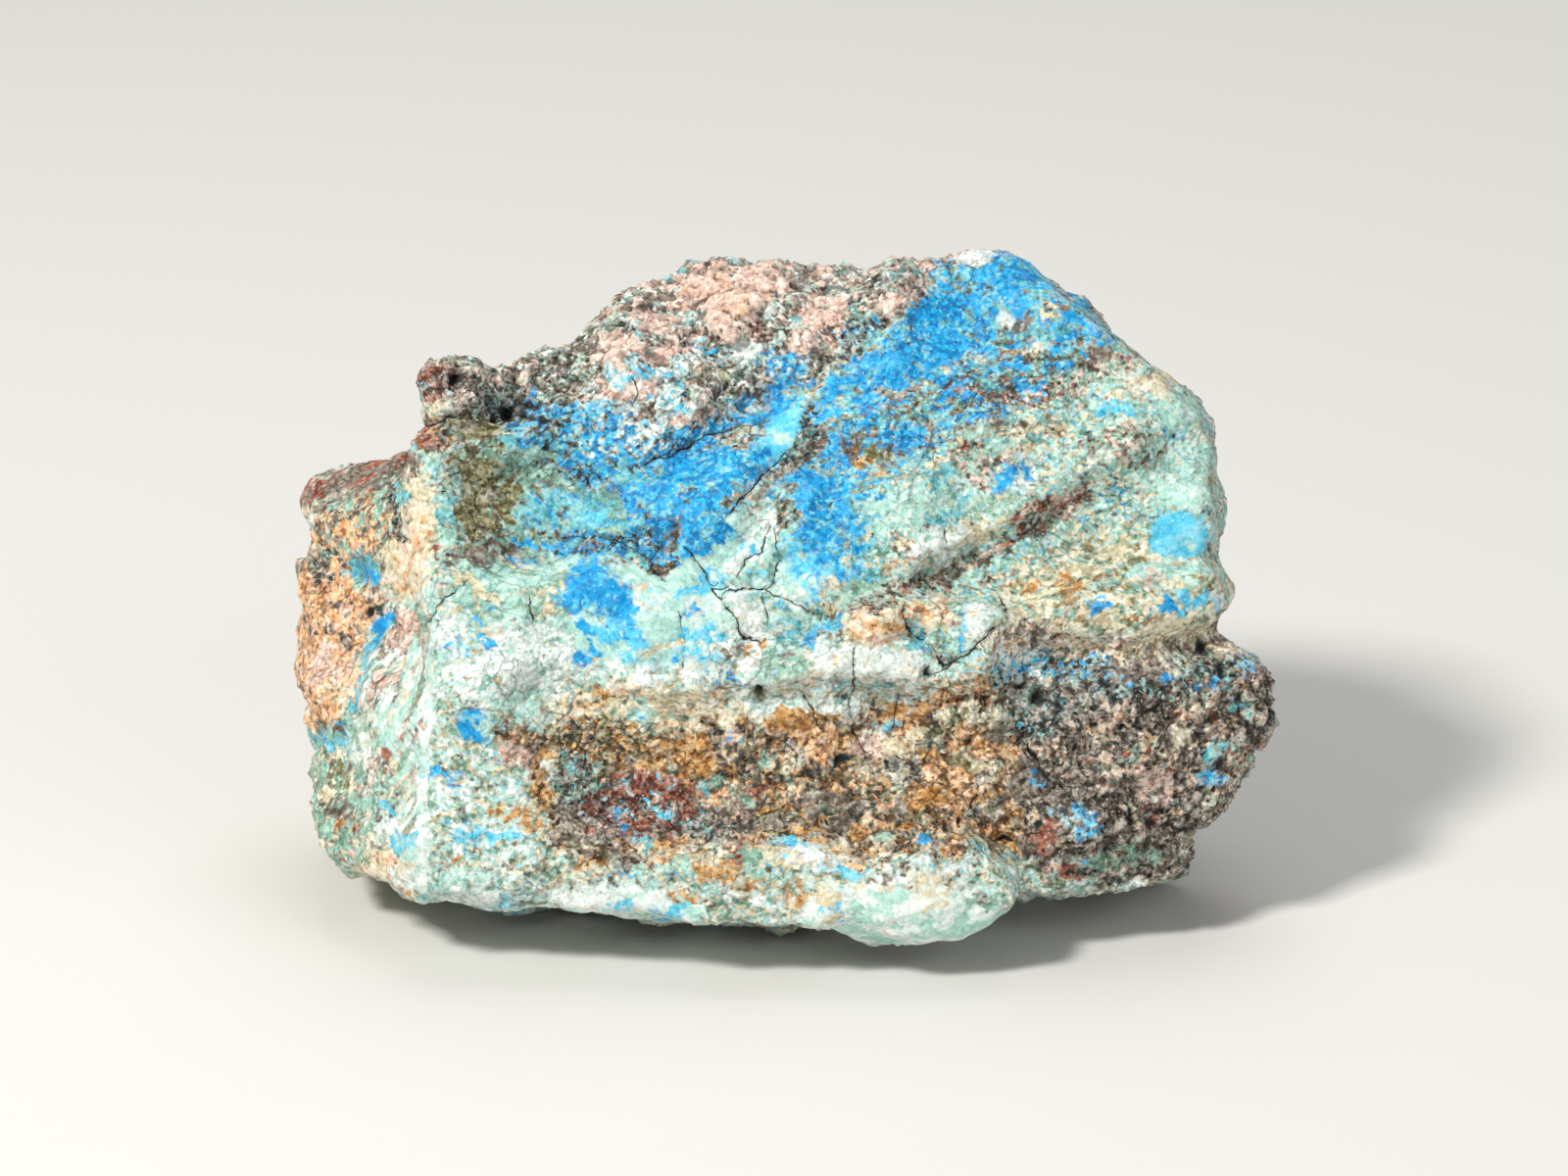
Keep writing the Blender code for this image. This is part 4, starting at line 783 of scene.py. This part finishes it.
class Paint:
    """What each point of the surface is made of: the share of each mineral, how far its rock stands out, how pitted
    and speckled it is, and how much painted shade darkens the crease it lies in."""

    def __init__(self, surface):
        self.surface = surface
        count = len(surface.world)
        self.minerals = np.zeros((count, len(NAMES)))
        self.relief, self.grit, self.crease_shade = np.zeros(count), np.zeros(count), np.zeros(count)

    def lay(self, rock_name, depth_inside, edge, strength=1.0):
        """Lays a rock wherever depth_inside, the distance inside a mark's border, is over zero."""
        cover = smooth(depth_inside, -edge, edge) * strength
        self.lay_cover(rock_name, cover * self.surface.front)

    def lay_cover(self, rock_name, cover):
        """Lays a rock in front of what is there, as thickly as cover says."""
        rock = ROCKS[rock_name]
        under = np.flatnonzero(cover > LEAST_COVER)
        if not len(under):
            return
        points, crinkle, cover = self.surface.face[under], flat(self.surface.crinkle[under]), cover[under]
        relief, crease_shade = np.full(len(under), rock.rise), np.zeros(len(under))
        level = self.patches(rock_name, under)
        if rock.lumps:
            height, own, gap = grains_at(points + LUMP_CRINKLE * crinkle, rock.lumps)
            relief += LUMP_HEIGHT * rock.lumps * height
            # painted shade where lumps meet
            crease_shade = CREASE_SHADE * (1 - smooth(gap * rock.lumps, *CREASE_EDGE))
            level = own + 0.5 * level  # each lump leans to its own minerals
        if rock.grain:
            grains, crumbs = (grains_at(points, size)[0] for size in (GRAIN_SIZE, CRUMB_SIZE))
            relief += rock.grain * (grains + CRUMB_SHARE * crumbs)
        shares = self.shares(rock, level)
        self.minerals[under] += (shares - self.minerals[under]) * cover[:, None]
        for held, laid in ((self.relief, relief), (self.grit, rock.grit), (self.crease_shade, crease_shade)):
            held[under] += (laid - held[under]) * cover

    def patches(self, rock_name, under):
        """The noise that the rock's minerals follow at these points, from one mineral's patches to the next's."""
        rock, points = ROCKS[rock_name], self.surface.face[under]
        if rock_name == "striped wall":
            slow = points[:, 1:] / STRIPE_STRETCH
            return noise_at(np.column_stack([ripple_radius(points), slow]), STRIPE_SIZE, 3)
        points = points + flat(PATCH_WANDER * self.surface.wander[under])
        along, across = along_and_across(points, rock.turn)
        bedded = np.stack([along / rock.stretch, across, points[:, 2]], axis=1)
        return noise_at(bedded + 10 * rock.turn, rock.patch, 4, 0.4)

    @staticmethod
    def shares(rock, level):
        """Each mineral's share at these points. From the lowest level up, each takes as much as the rock holds."""
        rank = np.full(len(level), 0.5)
        if len(rock.shares) > 1:
            rank[np.argsort(level)] = np.linspace(0, 1, len(level))
        blend = SMOOTH_BLEND + (GRITTY_BLEND - SMOOTH_BLEND) * rock.grit
        shares, low = np.zeros((len(level), len(NAMES))), 0.0
        for name, percent in rock.shares.items():
            high = low + percent / 100
            starts = smooth(rank, low - blend, low + blend) if low > 0 else 1.0
            ends = smooth(-rank, -high - blend, -high + blend) if high < 0.999 else 1.0
            shares[:, NAMES.index(name)] = starts * ends
            low = high
        return shares / np.maximum(shares.sum(axis=1), 1e-6)[:, None]


def paint_stone(surface):
    """Lays the beds, then the fields, veins and spots of the front face."""
    paint = Paint(surface)
    height = surface.face[:, 1] + BED_WAVES[1] * noise_at(surface.face, BED_WAVES[0], 2)
    low = -BEDS[-1][1]
    for rock_name, high in BEDS:
        paint.lay_cover(rock_name, smooth(height, low - BED_BLUR, low + BED_BLUR))
        low = high
    for rock_name, *corners in FIELDS:
        paint.lay(rock_name, inside_field(surface.ragged(rock_name), corners), FIELD_EDGE)
    # a mark of one mineral alone is broken up
    thick = smooth(noise_at(surface.face + 50, 1.0, 3, 0.5), -0.2, 0.25)
    broken = BROKEN_STRENGTH[0] + BROKEN_STRENGTH[1] * thick
    strength = {rock_name: broken if rock_name in NAMES else STRENGTH for rock_name in ROCKS}
    for rock_name, width, *path in VEINS:
        inside = width / 2 - distance_to_path(surface.ragged(rock_name), path)[0]
        paint.lay(rock_name, inside, VEIN_EDGE, strength[rock_name])
    for rock_name, *ovals in SPOTS:
        for oval in ovals:
            paint.lay(rock_name, inside_spot(surface.ragged(rock_name), *oval), SPOT_EDGE, strength[rock_name])
    return paint


class Cracks:
    """The cracks and pits.

    across is the distance from the nearest crack's middle in its half widths, with a sign for the side, so that it
    runs evenly through the middle. near is 1 along the cracks. open is the painted shade in the pits and where
    lumps meet, and depth how far the cracks and pits go in.
    """

    def __init__(self, surface, paint):
        wander = surface.seen + CRACK_WANDER * surface.wander
        count = len(wander)
        self.across, self.depth, nearest = np.full(count, FAR_ACROSS), np.zeros(count), np.full(count, np.inf)
        for half_width, depth, *path in CRACKS:
            distance, side = distance_to_path(wander, path)
            closer = distance < nearest
            nearest = np.minimum(nearest, distance)
            self.across = np.where(closer, side * np.minimum(distance / half_width, FAR_ACROSS), self.across)
            self.depth = np.maximum(self.depth, depth * np.exp(-((distance / CRACK_SLOPE) ** 2)) * surface.front)
        self.near = (1 - smooth(nearest, CRACK_SLOPE, 2 * CRACK_SLOPE)) * surface.front
        # painted shade in the pits and where lumps meet
        self.open = paint.crease_shade
        for u, v, radius, depth in PITS:
            here = smooth(inside_spot(wander, u, v, radius, radius), -0.5 * radius, 0.7 * radius) * surface.front
            self.open = np.maximum(self.open, PIT_SHADE * here)
            self.depth = np.maximum(self.depth, depth * here)


def shape_surface(mesh, surface, paint, crack_depth):
    """Moves the points for grains, beds, ripples and cracks, and leaves the base flat."""
    face = surface.face
    on_wall = smooth(-face[:, 0], *WALL_START) * smooth(-face[:, 1], *WALL_TOP) * surface.front
    waves = ripple_radius(face) + 0.5 * noise_at(face, 5.0)
    ripples = RIPPLE_HEIGHT * np.sin(2 * math.pi * waves / RIPPLE_SPACING)
    # the lines run along the beds, stretched to about three times their width
    bedded = np.stack([face[:, 0] * 0.35 - face[:, 1] * 0.15, face[:, 1] - 0.36 * face[:, 0], face[:, 2]], axis=1)
    roughness = SMOOTH_RELIEF + (1 - SMOOTH_RELIEF) * paint.grit
    facets = BACK_FACETS[1] * grains_at(face + flat(surface.crinkle), BACK_FACETS[0])[0]
    height = (
        paint.relief
        + SWELLS[1] * noise_at(face, SWELLS[0], 2)
        + (1 - surface.front) * (facets + BACK_BUMPS[1] * noise_at(face, BACK_BUMPS[0], 2))
        + BED_LINES[1] * roughness * noise_at(bedded, BED_LINES[0], 2)
        + BUMPS[1] * roughness * noise_at(face, BUMPS[0], 2)
        + ripples * on_wall
        - crack_depth
    )
    on_base = smooth(-surface.world[:, 2], -3 * BASE_BAND, -BASE_BAND)
    moved = surface.world + surface.normals * (height * (1 - on_base))[:, None]
    moved[:, 2] = np.where(surface.world[:, 2] < BASE_BAND, 0, np.maximum(moved[:, 2], 0))
    mesh.vertices.foreach_set("co", (moved * MM).astype(np.float32).ravel())
    mesh.update()


def hollows_of(mesh):
    """How far each point lies below the points up to three edges away, in millimetres."""
    points, normals = points_of(mesh) / MM, points_of(mesh, "normal")
    ends = np.empty(len(mesh.edges) * 2, np.int32)
    mesh.edges.foreach_get("vertices", ends)
    ends = ends.reshape(-1, 2)
    level = points
    for _ in range(3):
        total, count = np.zeros_like(points), np.zeros(len(points))
        for here, there in (ends.T, ends.T[::-1]):
            np.add.at(total, here, level[there])
            np.add.at(count, here, 1)
        level = total / count[:, None]
    return np.sum((level - points) * normals, axis=1)


def store(mesh, name, values):
    """Stores a value for each point, for the material to read."""
    layer = mesh.attributes.new(name, "FLOAT", "POINT")
    layer.data.foreach_set("value", values.astype(np.float32))


# The stone's material. Its patterns' sizes are in millimetres.

BED_TURN, BED_STRETCH = math.radians(18), 2.0  # the beds rise to the right in the face, and mottles run along them
MOTTLE, SPECK = 0.9, 0.16
GRAIN, CRUMB, GRAIN_NUDGE = 0.7, 0.35, 0.2  # the nudge keeps the grains' borders from being straight
NET_MESH, NET_NUDGE, NET_PART = 2.4, 1.6, 3.0  # the net of fine cracks, and the parts of the rock that have it
GRAIN_LEAN = 0.4  # how much a grain's own number adds to the mottles
BUMP_HEIGHT = 0.3
TINT_STOPS = (0.3, 0.5, 0.7)  # where a mineral's dark, middle and light colours lie in the shade
# How the minerals' amounts become weights
MOTTLE_PUSH, SPECK_PUSH, LEAST_AMOUNT, SHARPNESS = 1.3, 0.5, 0.6, 4.0


def add(tree, kind, links, **settings):
    """Adds a node with its settings and links. A link's value is a node, one of its sockets, or a plain value."""
    made = tree.nodes.new("ShaderNode" + kind)
    for name, value in settings.items():
        setattr(made, name, value)
    for name, value in links.items():
        if isinstance(value, bpy.types.Node):
            value = next(output for output in value.outputs if output.enabled)
        if isinstance(value, bpy.types.NodeSocket):
            tree.links.new(value, made.inputs[name])
        else:
            made.inputs[name].default_value = value
    return made


def mineral_mix(tree, mottles, pushes, shade):
    """The minerals' colour and roughness.

    Each mineral's weight is its amount, pushed up and down by the mottles and specks and then sharpened, so that the
    strongest at a point wins.
    """
    colour, roughness, total = (0.0, 0.0, 0.0), 0.0, 0.0
    for i, (name, (tints, dullness)) in enumerate(MINERALS.items()):
        amount = add(tree, "Attribute", {}, attribute_name=name).outputs["Fac"]
        amount = add(tree, "Math", {0: mottles[i % 3], 1: MOTTLE_PUSH, 2: amount}, operation="MULTIPLY_ADD")
        amount = add(tree, "Math", {0: pushes[i // 3 % 3], 1: SPECK_PUSH, 2: amount}, operation="MULTIPLY_ADD")
        amount = add(tree, "Math", {0: amount, 1: LEAST_AMOUNT}, operation="SUBTRACT", use_clamp=True)
        weight = add(tree, "Math", {0: amount, 1: SHARPNESS}, operation="POWER")
        ramp = add(tree, "ValToRGB", {"Fac": shade})
        stops = ramp.color_ramp.elements
        stops.new(TINT_STOPS[1])
        for stop, position, tint in zip(stops, TINT_STOPS, tints):
            stop.position, stop.color = position, linear(tint)
        colour = add(tree, "VectorMath", {0: ramp, 1: weight, 2: colour}, operation="MULTIPLY_ADD")
        roughness = add(tree, "Math", {0: weight, 1: dullness, 2: roughness}, operation="MULTIPLY_ADD")
        total = add(tree, "Math", {0: weight, 1: total}, operation="ADD")
    colour = add(tree, "VectorMath", {0: colour, 1: total}, operation="DIVIDE")
    roughness = add(tree, "Math", {0: roughness, 1: total}, operation="DIVIDE")
    return colour, roughness


def crack_shade_lines(tree, mottled, across, near):
    """Painted shade in the cracks: thin dark lines, jagged, and closed here and there."""
    jagged = add(tree, "SeparateXYZ", {"Vector": mottled}).outputs
    lines = add(tree, "Math", {0: jagged[1], 1: 0.5}, operation="SUBTRACT")
    lines = add(tree, "Math", {0: lines, 1: 8.0, 2: across}, operation="MULTIPLY_ADD")
    lines = add(tree, "Math", {0: lines}, operation="ABSOLUTE")
    lines = add(tree, "MapRange", {"Value": lines, "From Min": 1.4, "From Max": 0.6})
    open_part = add(tree, "MapRange", {"Value": jagged[2], "From Min": 0.38, "From Max": 0.46})
    for share in (near, open_part):
        lines = add(tree, "Math", {0: lines, 1: share}, operation="MULTIPLY")
    return lines.outputs[0]


def crack_net(tree, place, mottled, grit):
    """A broken net of finer cracks in gritty rock."""
    torn = add(tree, "VectorMath", {0: mottled, 1: (NET_NUDGE * MM,) * 3, 2: place}, operation="MULTIPLY_ADD")
    net = add(tree, "TexVoronoi", {"Vector": torn, "Scale": 1 / (NET_MESH * MM)}, feature="DISTANCE_TO_EDGE")
    net = add(tree, "MapRange", {"Value": net, "From Min": 0.035, "From Max": 0.015})
    part = add(tree, "TexNoise", {"Vector": place, "Scale": 0.5 / (NET_PART * MM), "Detail": 1})
    part = add(tree, "MapRange", {"Value": part, "From Min": 0.5, "From Max": 0.6})
    for share in (part, grit):
        net = add(tree, "Math", {0: net, 1: share}, operation="MULTIPLY")
    return net.outputs[0]


def altered_rock():
    """Altered lead-bearing rock, broken by hammer: each mineral keeps its own colours, shine and specks."""
    material = bpy.data.materials.new("altered_rock")
    material.use_nodes = True
    tree = material.node_tree
    shader = tree.nodes["Principled BSDF"]
    place = add(tree, "TexCoord", {}).outputs["Object"]
    grit, hollows, pits, across, near = (
        add(tree, "Attribute", {}, attribute_name=name).outputs["Fac"]
        for name in ("grit", "hollows", "pits", "across_crack", "near_crack")
    )
    # the minerals grow through one another in mottles, stretched along the beds, and in specks
    bed = Matrix(FACE_AXES.tolist()).transposed() @ Matrix.Rotation(BED_TURN, 3, "Z")
    bedded = add(
        tree, "Mapping", {"Vector": place, "Rotation": bed.to_euler(), "Scale": (BED_STRETCH, 1, 1)},
        vector_type="TEXTURE",
    )
    mottles = add(tree, "TexNoise", {"Vector": bedded, "Scale": 0.5 / (MOTTLE * MM), "Detail": 5, "Roughness": 0.7})
    specks = add(tree, "TexNoise", {"Vector": place, "Scale": 0.5 / (SPECK * MM), "Detail": 1})
    mottled, specks = mottles.outputs["Color"], specks.outputs["Color"]
    # gritty rock breaks into grains, each leaning to its own minerals, and crumbs of their own shades
    nudged = add(tree, "VectorMath", {0: mottled, 1: (GRAIN_NUDGE * MM,) * 3, 2: place}, operation="MULTIPLY_ADD")
    grains = add(tree, "TexVoronoi", {"Vector": nudged, "Scale": 1 / (GRAIN * MM)})
    crumbs = add(tree, "TexVoronoi", {"Vector": nudged, "Scale": 1 / (CRUMB * MM)})
    # the gaps between grains, sunk in the bump and darkened below as painted shade
    gaps = add(
        tree, "MapRange", {"Value": grains.outputs["Distance"], "From Min": 0.5, "From Max": 0.85},
        interpolation_type="SMOOTHSTEP",
    )
    gaps = add(tree, "Math", {0: gaps, 1: grit}, operation="MULTIPLY").outputs[0]
    own = add(tree, "VectorMath", {0: grains.outputs["Color"], 1: (0.5, 0.5, 0.5)}, operation="SUBTRACT")
    for scale in (GRAIN_LEAN, grit):
        own = add(tree, "VectorMath", {0: own, "Scale": scale}, operation="SCALE")
    mottles = add(tree, "VectorMath", {0: own, 1: mottled}, operation="ADD")
    speckled = add(tree, "Math", {0: grit, 1: 0.85, 2: 0.15}, operation="MULTIPLY_ADD")
    pushes = add(tree, "VectorMath", {0: crumbs.outputs["Color"], 1: specks}, operation="ADD")
    pushes = add(tree, "VectorMath", {0: pushes, 1: (1.0, 1.0, 1.0)}, operation="SUBTRACT")
    pushes = add(tree, "VectorMath", {0: pushes, "Scale": speckled}, operation="SCALE")
    mottles, pushes, specks, crumbs = (
        add(tree, "SeparateXYZ", {"Vector": made}).outputs
        for made in (mottles, pushes, specks, crumbs.outputs["Color"])
    )
    # the shade runs from a mineral's dark colour to its light one, with the mottles, the specks and the crumbs
    crumb = add(tree, "Math", {0: crumbs[0], 1: 0.5}, operation="SUBTRACT")
    crumb = add(tree, "Math", {0: crumb, 1: grit}, operation="MULTIPLY")
    shade = add(tree, "Math", {0: mottles[2], 1: 0.7, 2: 0.15}, operation="MULTIPLY_ADD")
    shade = add(tree, "Math", {0: pushes[0], 1: 0.5, 2: shade}, operation="MULTIPLY_ADD")
    shade = add(tree, "Math", {0: crumb, 1: 0.1, 2: shade}, operation="MULTIPLY_ADD")
    colour, roughness = mineral_mix(tree, mottles, pushes, shade)
    cracks = crack_shade_lines(tree, mottled, across, near)
    net = crack_net(tree, place, mottled, grit)
    # painted light and shade: highlights on the edges, glints, and shade in the hollows; gritty rock also has dark pits
    glints, dark_pits = specks[1], specks[2]
    for value, low, high, most, tint in (
        # painted highlight on the edges
        (hollows, -0.03, -0.2, 0.2, "#ECEAE0"),
        # painted glints
        (glints, 0.66, 0.76, 0.4, "#F6F8F2"),
        # painted shade in the hollows
        (hollows, 0.02, 0.22, 0.55, "#2E2C28"),
        (dark_pits, 0.4, 0.28, 0.8, "#1E1C1A"),
        # painted shade in the gaps between grains
        (gaps, 0.2, 1.0, 0.45, "#2A2622"),
        # painted shade in the pits and where lumps meet
        (pits, 0.2, 0.9, 1.0, "#100F0E"),
        # painted shade in the net of fine cracks
        (net, 0.0, 1.0, 0.75, "#1C1A18"),
        # painted shade in the cracks
        (cracks, 0.0, 1.0, 0.95, "#100F0E"),
    ):
        share = add(
            tree, "MapRange", {"Value": value, "From Min": low, "From Max": high, "To Max": most},
            interpolation_type="SMOOTHSTEP",
        )
        if value == dark_pits:
            share = add(tree, "Math", {0: share, 1: grit}, operation="MULTIPLY")
        colour = add(tree, "Mix", {0: share, 6: colour, 7: linear(tint)}, data_type="RGBA")
    # relief finer than the mesh: grains between gaps, and the net of cracks
    height = add(tree, "Math", {0: gaps, 1: -0.5, 2: shade}, operation="MULTIPLY_ADD")
    height = add(tree, "Math", {0: net, 1: -1.0, 2: height}, operation="MULTIPLY_ADD")
    bump = add(tree, "Bump", {"Strength": 0.8, "Distance": BUMP_HEIGHT * MM, "Height": height})
    for name, value in (("Base Color", colour), ("Roughness", roughness), ("Normal", bump)):
        tree.links.new(next(output for output in value.outputs if output.enabled), shader.inputs[name])
    shader.inputs["IOR"].default_value = 1.55
    shader.inputs["Specular IOR Level"].default_value = 0.25
    return material


def make_stone():
    """The whole specimen, in place of its plain solid."""
    stone = fine_copy(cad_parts["specimen"])
    mesh = stone.data
    surface = Surface(mesh)
    paint = paint_stone(surface)
    cracks = Cracks(surface, paint)
    shape_surface(mesh, surface, paint, cracks.depth)
    for name, values in (
        *zip(NAMES, paint.minerals.T),
        ("grit", paint.grit),
        ("pits", cracks.open),
        ("across_crack", cracks.across),
        ("near_crack", cracks.near),
        ("hollows", hollows_of(mesh)),
    ):
        store(mesh, name, values)
    mesh.materials.clear()
    mesh.materials.append(altered_rock())
    bpy.ops.object.shade_smooth()
    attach(stone, "root")
    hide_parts("specimen")


# The studio


def aim(thing, place, target):
    """Puts a light or the camera at its place, facing the target."""
    thing.location = place
    thing.rotation_euler = (Vector(target) - Vector(place)).to_track_quat("-Z", "Y").to_euler()


def add_floor():
    """Matt pale card, which takes a soft shadow and gives no shine."""
    bpy.ops.object.select_all(action="DESELECT")
    bpy.ops.mesh.primitive_plane_add(size=6.0, location=(0, 0, 0))
    floor = bpy.context.object
    floor.name = "floor"
    material = bpy.data.materials.new("matt_card")
    material.use_nodes = True
    shader = material.node_tree.nodes["Principled BSDF"]
    shader.inputs["Base Color"].default_value = linear("#D9D8D4")
    shader.inputs["Roughness"].default_value = 0.9
    floor.data.materials.append(material)


def add_light(name, place, target, size, watts, colour):
    lamp = bpy.data.lights.new(name, "AREA")
    lamp.shape, lamp.size, lamp.energy, lamp.color = "SQUARE", size, watts, linear(colour)[:3]
    lit = bpy.data.objects.new(name, lamp)
    bpy.context.scene.collection.objects.link(lit)
    aim(lit, place, target)


def add_studio():
    """A floor, a key light from the upper left, a weak fill, a light from behind and above, and a camera."""
    middle = FACE_ORIGIN + EYE_POINT[0] * FACE_AXES[0] + EYE_POINT[1] * FACE_AXES[1]
    target = middle * MM
    add_floor()
    for name, place, size, watts, colour in (
        ("key", (-0.42, -0.40, 0.62), 0.14, 7.0, "#FFFDF8"),
        ("fill", (0.60, -0.55, 0.35), 0.60, 1.8, "#F4F8FF"),
        ("top", (0.05, 0.35, 0.70), 0.50, 2.0, "#FFFFFF"),
    ):
        add_light(name, place, target, size, watts, colour)
    scene = bpy.context.scene
    world = bpy.data.worlds.new("studio")
    world.use_nodes = True
    world.node_tree.nodes["Background"].inputs["Color"].default_value = linear("#E6E6E4")
    world.node_tree.nodes["Background"].inputs["Strength"].default_value = 0.35
    scene.world = world
    scene.view_settings.view_transform = "Standard"
    camera = bpy.data.objects.new("camera", bpy.data.cameras.new("camera"))
    camera.data.lens, camera.data.sensor_width = 135, 36
    camera.data.clip_start, camera.data.clip_end = 0.01, 20
    scene.collection.objects.link(camera)
    aim(camera, (middle + EYE_DISTANCE * FACE_AXES[2]) * MM, target)
    scene.camera = camera


make_stone()
add_studio()
